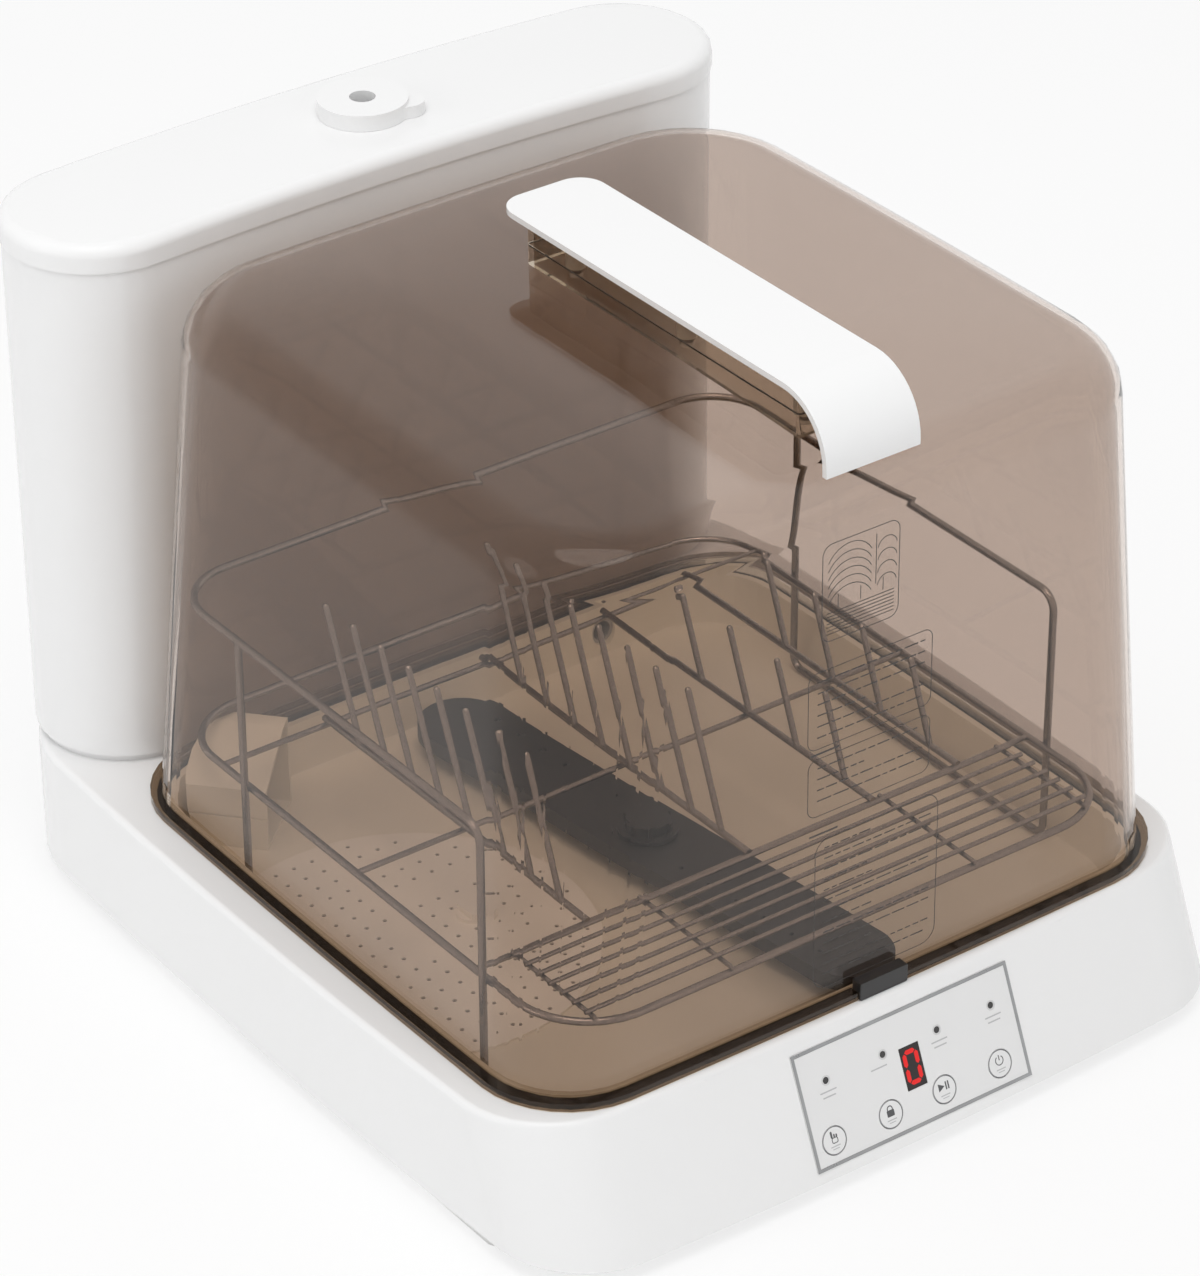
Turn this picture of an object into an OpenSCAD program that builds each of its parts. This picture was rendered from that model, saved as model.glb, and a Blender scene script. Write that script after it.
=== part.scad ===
// Countertop dishwasher: a low base with a wash tub, a lift-off clear hood, a wire rack,
// a turning spray arm and a water tank standing behind the hood.
// +X is to the user's right, -Y is the front, +Z is up. The origin lies on the table,
// under the middle of the machine. All sizes are in millimetres.

/* [Hood] */
// Width of the hood wall at its foot
hood_w = 357; // [341:2:373]
// Depth of the hood wall
hood_d = 338; // [323:1:353]
// Height of the hood above the deck
hood_h = 264.5; // [244:0.5:284]
// How far each side wall leans in from foot to top
hood_draft = 15.5; // [11:0.5:19]
// How far the front wall leans back from foot to top
front_draft = 2; // [0:0.25:4]
// How far the rear wall leans in from foot to top
rear_draft = 5.5; // [3:0.25:8]
// Thickness of the hood wall
hood_wall = 3; // [2:0.25:4]
// Plan radius of the hood's corners at the foot
hood_corner = 40; // [36:1:47]
// How much larger the corner radius is at the top
corner_growth = 18; // [12:1:22]
// Rounding of the hood's upper edges
hood_edge = 22.5; // [18:0.5:26]
// Rise of the hood's top from its edge to its middle
hood_crown = 3; // [1:0.25:5]
// Outward bow of the hood's walls
hood_bow = 2; // [1:0.5:4]
// Width of the foot flange outside the wall
flange_w = 5; // [3:0.5:7]
// Thickness of the foot flange
flange_t = 4; // [3:0.5:6]

/* [Handle] */
// Width of the handle strip
handle_w = 50; // [42:1:58]
// Thickness of the handle strip
handle_t = 2.8; // [2.2:0.1:3.6]
// Height of the handle's top over the hood's top
handle_rise = 27.5; // [24:0.5:34]
// Distance from the hood's middle to the handle's rear end
handle_rear = 77.5; // [58:0.5:97]
// Gap between the front wall line and the handle's front face
handle_setback = 11; // [10:0.5:16]
// Outer radius of the handle's front bend
handle_bend = 30; // [24:1:32]
// Width of the riser under the handle
riser_w = 32; // [26:1:38]
// Height of the groove round the riser, over the hood's top
groove_h = 8.5; // [6:0.5:12]

/* [Base] */
// Height of the base housing
base_h = 64; // [60:1:74]
// Width of the deck beside the hood flange
deck_side = 15.5; // [12:0.5:19]
// How far the front face leans back from foot to deck
front_lean = 26; // [20:1:30]
// Width of the deck in front of the hood flange
deck_front = 4.5; // [3.5:0.5:8]
// Plan radius of the base's front corners
base_corner = 42; // [36:1:48]
// Plan radius of the base's rear corners
base_back_corner = 58; // [52:1:64]
// Outward bow of the base's sides
base_bow = 6; // [3:0.5:7]
// Wall thickness of the base
base_wall = 3; // [2.5:0.25:4]
// Rounding along the deck's outer edge
base_edge = 3; // [2:0.5:4]
// Thickness of the bottom cover
cover_t = 3; // [2:0.5:4]
// Height of the feet
foot_h = 7; // [5:0.5:10]

/* [Tub] */
// Depth of the tub floor under the deck
tub_depth = 24.5; // [22:0.5:26]
// Wall thickness of the tub
tub_wall = 2.5; // [2:0.25:3]
// Gap between the hood's inner wall and the tub's mouth
tub_inset = 4; // [3:0.5:6]
// Width of the rubber rim seal
seal_w = 6; // [4:0.5:7]

/* [Spray arm] */
// Gap between the tip of the spray arm and the tub's front wall
arm_gap = 3.5; // [3:0.5:20]
// Width of the spray arm
arm_w = 42; // [34:1:50]
// Thickness of the spray arm
arm_t = 8; // [6:0.5:9]
// Angle at which the arm stands at rest, from the front
arm_rest = 6.5; // [0:0.5:12]
// Radius of the bearing post that the arm turns on
post_r = 9; // [7:0.5:11]

/* [Rack] */
// Diameter of the rack's main wires
wire_d = 3.6; // [3:0.1:4]
// Diameter of the thin shelf wires
thin_d = 2.2; // [1.8:0.1:2.6]
// Height of the shelf ring over the deck
ring_z = 28; // [25:0.5:34]
// Height of the upper rail over the deck
rail_z = 108; // [90:1:120]
// Gap between the rack's sides and the hood's foot wall
rack_gap = 19.5; // [17:0.5:23]
// Length of the plate prongs
prong_len = 68; // [55:1:75]
// Backward lean of the prongs, degrees
prong_lean = 22; // [10:1:26]
// Spacing of the plate prongs
prong_pitch = 22.3; // [19:0.1:26]
// Number of wires in the front shelf
shelf_wires = 7; // [5:1:8]

/* [Tank] */
// Depth of the water tank
tank_d = 88; // [81:1:95]
// Height of the tank wall, without the lid
tank_h = 255; // [228:0.5:280]
// How far the tank's ends sweep forward of its middle
tank_sweep = 10; // [5:0.5:11]
// Wall thickness of the tank
tank_wall = 2.5; // [2:0.25:3.5]
// Height of the tank lid
lid_h = 13; // [11:0.5:18]
// Rounding of the lid's upper edge
lid_edge = 6; // [3:0.5:7]
// Overhang of the lid over the tank wall
lid_over = 1; // [0.5:0.25:2]
// Height of the seat that lifts the tank over the deck
seat_h = 4; // [3:0.5:8]
// Gap between the hood flange and the tank
tank_gap = 5; // [4.8:0.1:7]
// Radius of the fill cap
cap_r = 21.5; // [19:0.5:25]
// Radius of the hose hole in the fill cap
fill_r = 6.2; // [4.5:0.1:8]

/* [Control panel] */
// Width of the panel film
panel_w = 122; // [116:1:134]
// Height of the panel film
panel_h = 55; // [51:0.5:56]
// Sideways shift of the panel from the middle
panel_x = 4.3; // [0:0.1:6]
// Radius of the round keys
key_r = 6.4; // [5.5:0.1:7]
// Travel of the keys
key_travel = 0.5; // [0.3:0.1:0.8]

/* [Machinery] */
// Radius of the wash pump's casing
pump_r = 24.5; // [22:0.5:26]
// Radius of the drain pump's casing
drain_r = 15.5; // [13:0.5:16.5]
// Radius of the fan's scroll casing
fan_r = 33; // [28:0.5:34]
// Outer radius of the water hoses
hose_r = 7; // [6:0.25:7.5]
// Wall thickness of the water hoses
hose_wall = 1.8; // [1.4:0.1:2.2]
// Radius of the filter plate
filter_r = 89; // [84:1:92]
// Radius of the sump cup
sump_r = 40; // [34:1:44]

/* [Hidden] */
$fn = 48;

// Clearances
slip = 0.3;        // between pieces that move past each other
fit = 0.1;         // between pieces that are assembled together
run = 0.05;        // radial clearance of a shaft in its bearing
bite = 0.2;        // how far a boss is sunk into the wall that it grows from
cut = 1;           // how far a cutter reaches past the face that it opens

// Curve resolution of the bowed outlines
arc_steps = 8;
side_steps = 8;
edge_steps = 5;

// Heights
cover_z = foot_h + cover_t;
deck_z = foot_h + base_h;
flange_z = deck_z + slip;
hood_top = deck_z + hood_h;
handle_top = hood_top + handle_rise;
floor_z = deck_z - tub_depth;
under_z = floor_z - tub_wall;
seat_z = deck_z + seat_h;
tank_top = seat_z + tank_h;
lid_top = tank_top + lid_h;

// Plan: the base is as wide and deep as what stands on it
front_inset = front_lean + deck_front + flange_w;
tank_inset = 1;
base_w = hood_w + 2 * flange_w + 2 * deck_side;
base_d = front_inset + hood_d + flange_w + tank_gap + tank_d + tank_inset;
front_y = -base_d / 2;
rear_y = base_d / 2;
hood_y = front_y + front_inset + hood_d / 2;
tank_y = rear_y - tank_inset - tank_d / 2;
tank_side = 9;
tank_half = base_w / 2 - tank_side;

// Tub: its mouth lies inside the hood's wall, its floor a little further in
tub_w = hood_w - 2 * hood_wall - 2 * tub_inset;
tub_d = hood_d - 2 * hood_wall - 2 * tub_inset;
tub_corner = hood_corner - hood_wall - tub_inset;
tub_taper = 5;
tub_rear = hood_y + tub_d / 2;
floor_in = -2 * tub_taper;
lip_t = 1.6;
lip_w = hood_wall + tub_inset + flange_w - fit;

// Spray arm
hub_shift = 2.5;
arm_z = floor_z + 8.5;
arm_y = hood_y - hub_shift;
arm_reach = tub_d / 2 - tub_taper - hub_shift - arm_gap;

// Handle, riser and latch tab
hood_front = hood_y - hood_d / 2;
handle_front = hood_front + handle_setback;
strip_rear = hood_y + handle_rear;
riser_front = handle_front + handle_bend;
riser_rear = strip_rear - 11;
riser_mid = (riser_front + riser_rear) / 2;
riser_len = riser_rear - riser_front;
handle_spots = [riser_front + 16, riser_mid, riser_rear - 16];
bend_mid = max(hood_edge + front_draft - handle_setback - handle_t, 0);
drop_z = hood_top - hood_crown - hood_edge + sqrt(pow(hood_edge, 2) - pow(bend_mid, 2)) + 0.6;
latch_w = 27;
latch_h = 9;

// Rack
rack_x = hood_w / 2 - rack_gap;
ring = deck_z + ring_z;
rail = deck_z + rail_z;
ring_front = hood_y - hood_d / 2 + 15;
rail_rear = hood_y + hood_d / 2 - 20;
ring_rear = hood_y + hood_d / 2 - 12;
post_front = ring_front + 57;
post_back = ring_front + 245;
runner = floor_z + wire_d / 2;
prong_front = post_front + 28;
plate_x = [61 - rack_x, 150 - rack_x];
bowl_x = [rack_x - 97, rack_x - 47];
prongs = 8;
bowl_prongs = 4;
bowl_pitch = prong_pitch * 1.6;
bowl_len = prong_len * 0.62;
prong_d = 3;
cross_d = thin_d + 0.6;
cross_y = [post_front + 10, post_front + 102, post_back + 24];
ring_corner = 38;
ring_back_corner = 34;
rail_bend = 9;
rail_corner = 30;
shelf_x = [21 - rack_x, 90 - rack_x, rack_x - 92, rack_x - 23];
shelf_lead = 10;
shelf_tail = 2;
weld = 0.3;

// Filter, sump and pumps
filter_x = 31 - rack_x;
filter_y = arm_y + 11;
filter_left = -rack_x + wire_d / 2 + 3;
filter_t = 1.2;
sump_x = 67 - rack_x;
sump_y = filter_y;
sump_z = cover_z + 2;
basket_r = sump_r - 6;
stub_r = hose_r - hose_wall - fit;
stub_len = 12;
feed_z = cover_z + 0.6 + hose_r;
pump_x = 0;
pump_y = tank_y - 4;
pump_z = feed_z - stub_r + pump_r;
pump_len = 26;
shaft_r = 3;
motor_r = 20;
motor_len = 52;
suction_z = feed_z + 2;
drain_len = 18;
drain_y = sump_y - sump_r - 2 * stub_len - 4;
drain_z = feed_z - stub_r + drain_r;
drain_shaft = 2;
drain_motor_r = 13;
drain_motor_len = 34;
drain_line = 48 - base_w / 2;
drain_out_z = cover_z + 14;
rear_in = rear_y - base_bow - base_wall;
heater_r = 12;
heater_len = 90;
heater_z = cover_z + 0.6 + heater_r;
outlet_r = 7;
outlet_len = 15;
fill_z = floor_z + 11.5;
valve_size = [30, 26, 24];
valve_gap = 13;
valve_x = pump_x + pump_len / 2 + motor_len + valve_gap + valve_size.x / 2;
valve_z = seat_z - outlet_len + 5 - valve_size.z;
air_pos = [44.2 - hood_w / 2, hood_y + hood_d / 2 - 30.5];
air_turn = -48;
air_long = 40;
air_deep = 42;
fan_x = 81 - base_w / 2;
fan_y = tank_y + 1;
fan_t = 18;
fan_z = deck_z - base_wall - 0.5 - fan_t;
duct_w = 26;
slot_w = 17;
slot_x = fan_x - 17.5;
float_x = tank_half - 60;
float_h = 16;
stem_h = 36;
stem_r = 2.5;
cap_x = 2.5;
cap_y = tank_y;
cap_h = 8;
board_x = base_w / 2 - 63;
board_y = tank_y - 7;
board_w = 78;
board_d = 54;
board_t = 1.6;
board_lift = 6;
board_spots = [for (sx = [-1, 1]) for (sy = [-1, 1])
    [board_x + sx * (board_w / 2 - 5), board_y + sy * (board_d / 2 - 5)]];
gland_bore = 3.6;

// Control panel, on the leaning front face
heel = 1;             // upright part of the front face, over the chamfer at its foot
lean_h = base_h - base_edge - heel;
front_angle = atan(front_lean / lean_h);
panel_z = foot_h + base_h / 2 - 1;
panel_depth = 0.8;
film_corner = 1.5;
window_w = panel_w - 8;
window_h = panel_h - 6;
key_x = [for (part = [-0.401, -0.141, 0.109, 0.372]) part * panel_w];
key_y = -0.292 * panel_h;
lamp_x = [for (part = [-0.376, -0.115, 0.137, 0.391]) part * panel_w];
lamp_y = 0.199 * panel_h;
lamp_r = 1.5;
display_size = [11, 19.8];
board_depth = 7;
switch_h = 1.4;
panel_posts = [for (part = [-1, -0.45, 0.45, 1]) [part * (window_w / 2 - 6), 1]];

// -------- outlines

// Corner q of a rectangle; radii is one number or [front, rear]
function arc_of(q, hw, hd, radii) =
    let (
        sx = (q == 0 || q == 3) ? 1 : -1,
        sy = q < 2 ? 1 : -1,
        r = max(is_list(radii) ? radii[q < 2 ? 1 : 0] : radii, 1))
    [for (k = [0:arc_steps])
        let (a = 90 * q + 90 * k / arc_steps)
        [sx * (hw - r) + r * cos(a), sy * (hd - r) + r * sin(a)]];

function round_rect(hw, hd, r) =
    [for (q = [0:3])
        let (a = arc_of(q, hw, hd, r), from = a[arc_steps], to = arc_of((q + 1) % 4, hw, hd, r)[0])
        each concat(a, [for (t = [1:side_steps - 1]) from + (to - from) * t / side_steps])];

function bulge(v, half, across, half_across, bow) =
    v + sign(v) * bow * (1 - pow(across / half_across, 2)) * pow(min(abs(v) / half, 1), 4);

// Rounded rectangle with bowed sides, w by d overall, its middle at y = cy
function bowed(w, d, r, bow, cy = 0) =
    let (hw = w / 2 - bow, hd = d / 2 - bow)
    [for (p = round_rect(hw, hd, r))
        [bulge(p.x, hw, p.y, hd, bow), bulge(p.y, hd, p.x, hw, bow) + cy]];

// Plan of the hood's foot flange, widened all round by grow
function flange_plan(grow) =
    let (out = flange_w + grow)
    bowed(hood_w + 2 * out, hood_d + 2 * out, hood_corner + out, hood_bow, hood_y);

// Plan of the tub's mouth, widened and deepened by grow
function tub_plan(grow, corner) = bowed(tub_w + grow, tub_d + grow, corner, hood_bow, hood_y);

function at_z(points, z) = [for (p = points) [p.x, p.y, z]];

// Solid through a stack of rings with the same number of points
module loft(rings) {
    n = len(rings[0]);
    m = len(rings);
    polyhedron(
        points = [for (r = rings) each r],
        faces = concat(
            [[for (i = [0:n - 1]) i]],
            [[for (i = [n - 1:-1:0]) (m - 1) * n + i]],
            [for (j = [0:m - 2]) for (i = [0:n - 1])
                let (a = j * n + i, b = j * n + (i + 1) % n)
                each [[a, a + n, b + n], [a, b + n, b]]]));
}

// Hood section at a height over its foot, moved in by inset
function hood_ring(up, inset, z) =
    let (
        part = up / hood_h,
        front = hood_y - hood_d / 2 + front_draft * part + inset,
        back = hood_y + hood_d / 2 - rear_draft * part - inset)
    at_z(bowed(hood_w - 2 * hood_draft * part - 2 * inset, back - front,
               hood_corner + corner_growth * part - inset, hood_bow, (front + back) / 2), z);

// Ring drawn in towards the hood's middle, for its domed top
function crown_ring(ring, part, top) =
    [for (p = ring) [p.x * part, hood_y + (p.y - hood_y) * part, top - hood_crown * part * part]];

function hood_stack(inset, foot, top) =
    let (r = hood_edge - inset, edge_z = top - hood_crown)
    concat(
        [hood_ring(0, inset, foot)],
        [for (k = [0:edge_steps])
            let (a = 90 * k / edge_steps, z = edge_z - r + r * sin(a))
            hood_ring(z - deck_z, inset + r * (1 - cos(a)), z)],
        [for (part = [0.8, 0.55, 0.3])
            crown_ring(hood_ring(edge_z - deck_z, inset + r, edge_z), part, top)]);

// Base section at a height over the table, moved in by inset
function base_ring(z, inset, shrink = 0) =
    let (
        rise = min(max(z - foot_h - heel, 0), lean_h) / lean_h,
        front = front_y + front_lean * rise + inset + shrink,
        back = rear_y - inset - shrink)
    at_z(bowed(base_w - 2 * inset - 2 * shrink, back - front,
               [for (r = [base_corner, base_back_corner]) r - inset - shrink],
               base_bow, (front + back) / 2), z);

// Tank plan: a bent band with round ends, moved in by inset
tank_xe = tank_half - tank_d / 2;
function mid_y(x) = tank_y - tank_sweep * pow(x / tank_half, 2);
function mid_angle(x) = atan(2 * tank_sweep * x / pow(tank_half, 2));
function tank_side_point(x, off) = [x + off * sin(mid_angle(x)), mid_y(x) + off * cos(mid_angle(x))];
function tank_end(sx, off) =
    [for (k = [1:2 * arc_steps - 1])
        let (a = -90 * sx + 180 * k / (2 * arc_steps) - mid_angle(sx * tank_xe))
        [sx * tank_xe + off * cos(a), mid_y(tank_xe) + off * sin(a)]];
function tank_outline(inset) =
    let (off = tank_d / 2 - inset, n = 2 * side_steps)
    concat(
        [for (k = [0:n]) tank_side_point(-tank_xe + 2 * tank_xe * k / n, -off)],
        tank_end(1, off),
        [for (k = [0:n]) tank_side_point(tank_xe - 2 * tank_xe * k / n, off)],
        tank_end(-1, off));

// -------- small shapes

// Rod from a to b with round ends
module rod(a, b, d) {
    v = b - a;
    translate(a)
        rotate([0, acos(v.z / norm(v)), atan2(v.y, v.x)])
            cylinder(h = norm(v), d = d, $fn = 24);
}

module tube(h, r, wall) {
    difference() {
        cylinder(h = h, r = r);
        translate([0, 0, -cut])
            cylinder(h = h + 2 * cut, r = r - wall);
    }
}

module along_y(x = 0, y = 0, z = 0) {
    translate([x, y, z]) rotate([-90, 0, 0]) children();
}

// Plate with round corners, its underside at z = 0
module round_plate(w, h, r, t) {
    linear_extrude(t)
        polygon(round_rect(w / 2, h / 2, r));
}

// Panel frame: local X to the right, Y up the leaning face, Z out of it
module on_front() {
    lift = panel_z - foot_h - heel;
    translate([panel_x, front_y + front_lean * lift / lean_h, panel_z])
        rotate([90 - front_angle, 0, 0])
            children();
}

// -------- base

foot_len = 74;
foot_w = 16;
foot_y = [front_y + 95, rear_y - 175];
// Screws of the bottom cover: each runs up into a boss of the housing, [x, y, boss top]
screw_spots = [for (sx = [-1, 1]) each [
    [sx * base_w / 4, front_y + front_lean + 6.5, deck_z - base_wall],
    [sx * (base_w / 2 - 14), foot_y[0] + foot_len / 2 + 13, deck_z - base_wall],
    [sx * (base_w / 2 - 18), tank_y - 12, seat_z - base_wall]]];
screw_r = 2;
boss_r = 5;
screw_head_r = 3.6;
screw_head_h = 2;
board_screw_r = 1.6;
seat_inset = 2.5;
gland_x = base_w / 2 - base_back_corner - 2 * base_bow;
gland_z = 38;
gland_r = 9;
vent_x = [for (k = [0:8]) -84 + 12 * k];

// Plan of the tank's seat: the tank's outline, kept clear of the hood's flange
module seat_plan(inset) {
    difference() {
        polygon(tank_outline(inset));
        polygon(flange_plan(slip + inset));
    }
}

module base_housing() {
    color("white")
    for (p = screw_spots)
        translate([p.x, p.y, cover_z + fit])
            tube(p.z - cover_z - fit + bite, boss_r, boss_r - screw_r - fit);
    color("white")
    difference() {
        union() {
            loft(concat(
                [base_ring(foot_h, 0, heel), base_ring(foot_h + heel, 0)],
                [for (k = [0:3])
                    let (a = 30 * k)
                    base_ring(deck_z - base_edge + base_edge * sin(a), 0, base_edge * (1 - cos(a)))]));
            translate([0, 0, deck_z - base_wall])
                linear_extrude(seat_h + base_wall)
                    seat_plan(seat_inset);
        }
        // Hollow inside, open at the bottom
        loft([base_ring(foot_h - cut, base_wall), base_ring(foot_h + heel, base_wall),
              base_ring(deck_z - base_wall - base_edge, base_wall),
              base_ring(deck_z - base_wall, base_wall, base_edge)]);
        translate([0, 0, deck_z - base_wall - cut])
            linear_extrude(seat_h + cut)
                seat_plan(seat_inset + base_wall);
        // Mouth for the tub and the step that its lip lies in
        translate([0, 0, deck_z - base_wall - seat_h])
            linear_extrude(seat_h + base_wall + cut)
                polygon(tub_plan(2 * tub_wall + 2 * slip, tub_corner + tub_wall));
        translate([0, 0, deck_z - lip_t - fit])
            linear_extrude(lip_t + fit + cut)
                polygon(tub_plan(2 * lip_w + 2 * fit, tub_corner + lip_w));
        // Panel recess and the window behind it
        on_front() {
            translate([0, 0, -panel_depth])
                round_plate(panel_w + 2 * fit, panel_h + 2 * fit, film_corner, 6);
            translate([0, 0, -base_wall * 2])
                round_plate(window_w, window_h, 3, base_wall * 3);
        }
        // Hole for the tank's outlet, screw holes of the tank, cord hole, drain hole, air vents
        translate([valve_x, mid_y(valve_x), deck_z - cut])
            cylinder(h = seat_h + 2 * cut, r = outlet_r + slip);
        for (p = tank_screw_spots)
            translate([p.x, p.y, deck_z])
                cylinder(h = seat_h + cut, r = screw_r + fit);
        along_y(gland_x, rear_y - base_wall * 4, gland_z)
            cylinder(h = base_wall * 5, r = gland_r);
        along_y(drain_line, rear_y - base_corner, drain_out_z)
            cylinder(h = base_corner + cut, r = stub_r + 1);
        for (x = vent_x)
            translate([x, rear_y - base_wall * 3, foot_h + 14])
                cube([5, base_wall * 4, 30]);
    }
}

module bottom_cover() {
    color("whitesmoke")
    difference() {
        translate([0, 0, foot_h])
            linear_extrude(cover_t)
                polygon([for (p = base_ring(cover_z, base_wall + slip)) [p.x, p.y]]);
        for (p = screw_spots)
            translate([p.x, p.y, foot_h - cut])
                cylinder(h = cover_t + 2 * cut, r = screw_r + fit);
        for (x = vent_x)
            translate([x + 40, front_y + 70, foot_h - cut])
                cube([5, 46, cover_t + 2 * cut]);
        for (f = foot_spots)
            translate([f.x, f.y, foot_h - cut])
                cylinder(h = cover_t + 2 * cut, r = 3);
    }
    // posts of the main board
    color("whitesmoke")
    for (p = board_spots)
        translate([p.x, p.y, cover_z])
            tube(board_lift, 4, 4 - board_screw_r - fit);
}

foot_spots = [for (sx = [-1, 1]) for (y = foot_y) [sx * (base_w / 2 - 8 - foot_w / 2), y]];

// Long soft feet, pushed into holes of the bottom cover
module feet() {
    color("gainsboro")
    for (f = foot_spots)
        translate([f.x, f.y, 0]) {
            rotate([0, 0, 90])
                round_plate(foot_len, foot_w, 5, foot_h);
            translate([0, 0, foot_h])
                cylinder(h = cover_t, r = 3 - fit);
        }
}

tank_screw_spots = [for (sx = [-1, 1]) let (x = sx * (tank_half - 41)) [x, mid_y(x)]];

module pan_screw(shank, length, head_r, head_h) {
    translate([0, 0, -head_h])
        cylinder(h = head_h, r = head_r);
    cylinder(h = length, r = shank);
}

module case_screws() {
    color("silver") {
        for (p = screw_spots)
            translate([p.x, p.y, foot_h])
                pan_screw(screw_r, cover_t + 10, screw_head_r, screw_head_h);
        for (p = tank_screw_spots)
            translate([p.x, p.y, seat_z - base_wall])
                pan_screw(screw_r, base_wall + tank_wall + 2.5, screw_head_r, screw_head_h);
        for (p = board_spots)
            translate([p.x, p.y, cover_z + board_lift + board_t])
                mirror([0, 0, 1])
                    pan_screw(board_screw_r, board_t + board_lift - 1, screw_head_r, screw_head_h);
    }
}

// Moulded wash tub, hung in the base by its lip
module tub() {
    color("ivory")
    difference() {
        union() {
            translate([0, 0, deck_z - lip_t])
                linear_extrude(lip_t)
                    polygon(tub_plan(2 * lip_w, tub_corner + lip_w));
            loft([at_z(tub_plan(floor_in + 2 * tub_wall, tub_corner), under_z),
                  at_z(tub_plan(2 * tub_wall, tub_corner + tub_wall), deck_z)]);
        }
        loft([at_z(tub_plan(floor_in - 6, tub_corner - 3), floor_z),
              at_z(tub_plan(floor_in - 1.8, tub_corner - 1), floor_z + 0.9),
              at_z(tub_plan(floor_in, tub_corner), floor_z + 3),
              at_z(tub_plan(0, tub_corner), deck_z + cut)]);
        // Groove for the rim seal
        translate([0, 0, deck_z - lip_t / 2])
            linear_extrude(lip_t)
                difference() {
                    polygon(seal_outline(seal_w));
                    polygon(seal_outline(0));
                }
        // Hub hole, sump mouth, air inlet and water inlet
        translate([0, arm_y, under_z - cut])
            cylinder(h = tub_wall * 3, r = post_r + fit);
        translate([sump_x, sump_y, under_z - cut])
            cylinder(h = tub_wall + 2 * cut, r = sump_r - 2);
        translate([slot_x - slot_w / 2, tub_rear - 20, outlet_lo])
            cube([slot_w, 40, outlet_hi - outlet_lo]);
        along_y(valve_x, tub_rear - 20, fill_z)
            cylinder(h = 40, r = hose_r + fit);
    }
}

function seal_outline(grow) =
    let (off = tub_inset - 1 + grow)
    tub_plan(2 * off, tub_corner + off);

module rim_seal() {
    color([0.12, 0.1, 0.09])
    translate([0, 0, deck_z - lip_t / 2])
        linear_extrude(lip_t / 2 + slip / 2)
            difference() {
                polygon(seal_outline(seal_w - fit));
                polygon(seal_outline(fit));
            }
}

module sump_cup() {
    color("gray")
    difference() {
        union() {
            translate([sump_x, sump_y, sump_z])
                cylinder(h = under_z - sump_z, r = sump_r);
            along_y(sump_x, sump_y, suction_z)
                cylinder(h = sump_r + stub_len, r = stub_r);
            along_y(sump_x, sump_y - sump_r - stub_len, drain_z)
                cylinder(h = sump_r + stub_len, r = stub_r);
        }
        translate([sump_x, sump_y, sump_z + 2])
            cylinder(h = under_z, r = sump_r - 2);
        along_y(sump_x, sump_y, suction_z)
            cylinder(h = sump_r + stub_len + cut, r = stub_r - hose_wall);
        along_y(sump_x, sump_y - sump_r - stub_len - cut, drain_z)
            cylinder(h = sump_r + stub_len + cut, r = stub_r - hose_wall);
    }
}

// -------- spray arm

post_top = arm_z + arm_t + 4;
thread_r = post_r - 4;

// Hollow post that feeds and carries the arm; it is clamped through the tub floor
module hub_post() {
    color("dimgray")
    translate([0, arm_y, 0])
    difference() {
        union() {
            translate([0, 0, cover_z + 0.5])
                cylinder(h = under_z - cover_z - 0.5, r = post_r + 4);
            along_y(0, 0, feed_z)
                cylinder(h = post_r + 4 + stub_len, r = stub_r);
            translate([0, 0, under_z])
                cylinder(h = tub_wall, r = post_r);
            translate([0, 0, floor_z])
                cylinder(h = arm_z - slip - floor_z, r = post_r + 3);
            translate([0, 0, arm_z - slip])
                cylinder(h = arm_t + slip + 0.5, r = post_r);
            translate([0, 0, arm_z + arm_t])
                cylinder(h = post_top - arm_z - arm_t, r = thread_r);
        }
        translate([0, 0, cover_z + 3])
            cylinder(h = arm_z + arm_t - cover_z - 4, r = post_r - 4.5);
        for (a = [30:60:330])
            translate([0, 0, arm_z + arm_t / 2])
                rotate([0, 90, a])
                    translate([0, 0, post_r - 6])
                        cylinder(h = 6 + cut, r = 1.4, $fn = 24);
        along_y(0, 0, feed_z)
            cylinder(h = post_r + stub_len + 10, r = stub_r - hose_wall);
    }
}

// Flat hollow paddle with rows of spray holes
module spray_arm() {
    span = 2 * (arm_reach - arm_w / 2);
    color([0.25, 0.25, 0.27])
    translate([0, arm_y, arm_z])
        rotate([0, 0, arm_rest])
            difference() {
                union() {
                    translate([-arm_w / 2, -span / 2, 0])
                        cube([arm_w, span, arm_t]);
                    for (sy = [-1, 1])
                        translate([0, sy * span / 2, 0])
                            cylinder(h = arm_t, r = arm_w / 2);
                }
                // water channel
                translate([-arm_w / 2 + 6, -span / 2, 2])
                    cube([arm_w - 12, span, arm_t - 4]);
                translate([0, 0, -cut])
                    cylinder(h = arm_t + 2 * cut, r = post_r + run);
                // spray holes
                for (sy = [-1, 1]) for (k = [0:5])
                    translate([sy * (arm_w / 2 - 11), sy * (32 + 18 * k), 2])
                        cylinder(h = arm_t, r = 1.1, $fn = 16);
            }
}

module arm_nut() {
    nut_h = 7;
    color([0.2, 0.2, 0.22])
    translate([0, arm_y, arm_z + arm_t + 0.5 + slip])
        difference() {
            union() {
                cylinder(h = 2, r = post_r + 5);
                cylinder(h = nut_h, r = post_r + 1);
                for (a = [0:60:300])
                    rotate([0, 0, a])
                        translate([post_r + 1, 0, nut_h / 2])
                            cube([3, 3, nut_h], center = true);
            }
            translate([0, 0, -cut])
                cylinder(h = post_top - arm_z - arm_t + cut, r = thread_r);
        }
}

// -------- filter

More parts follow.
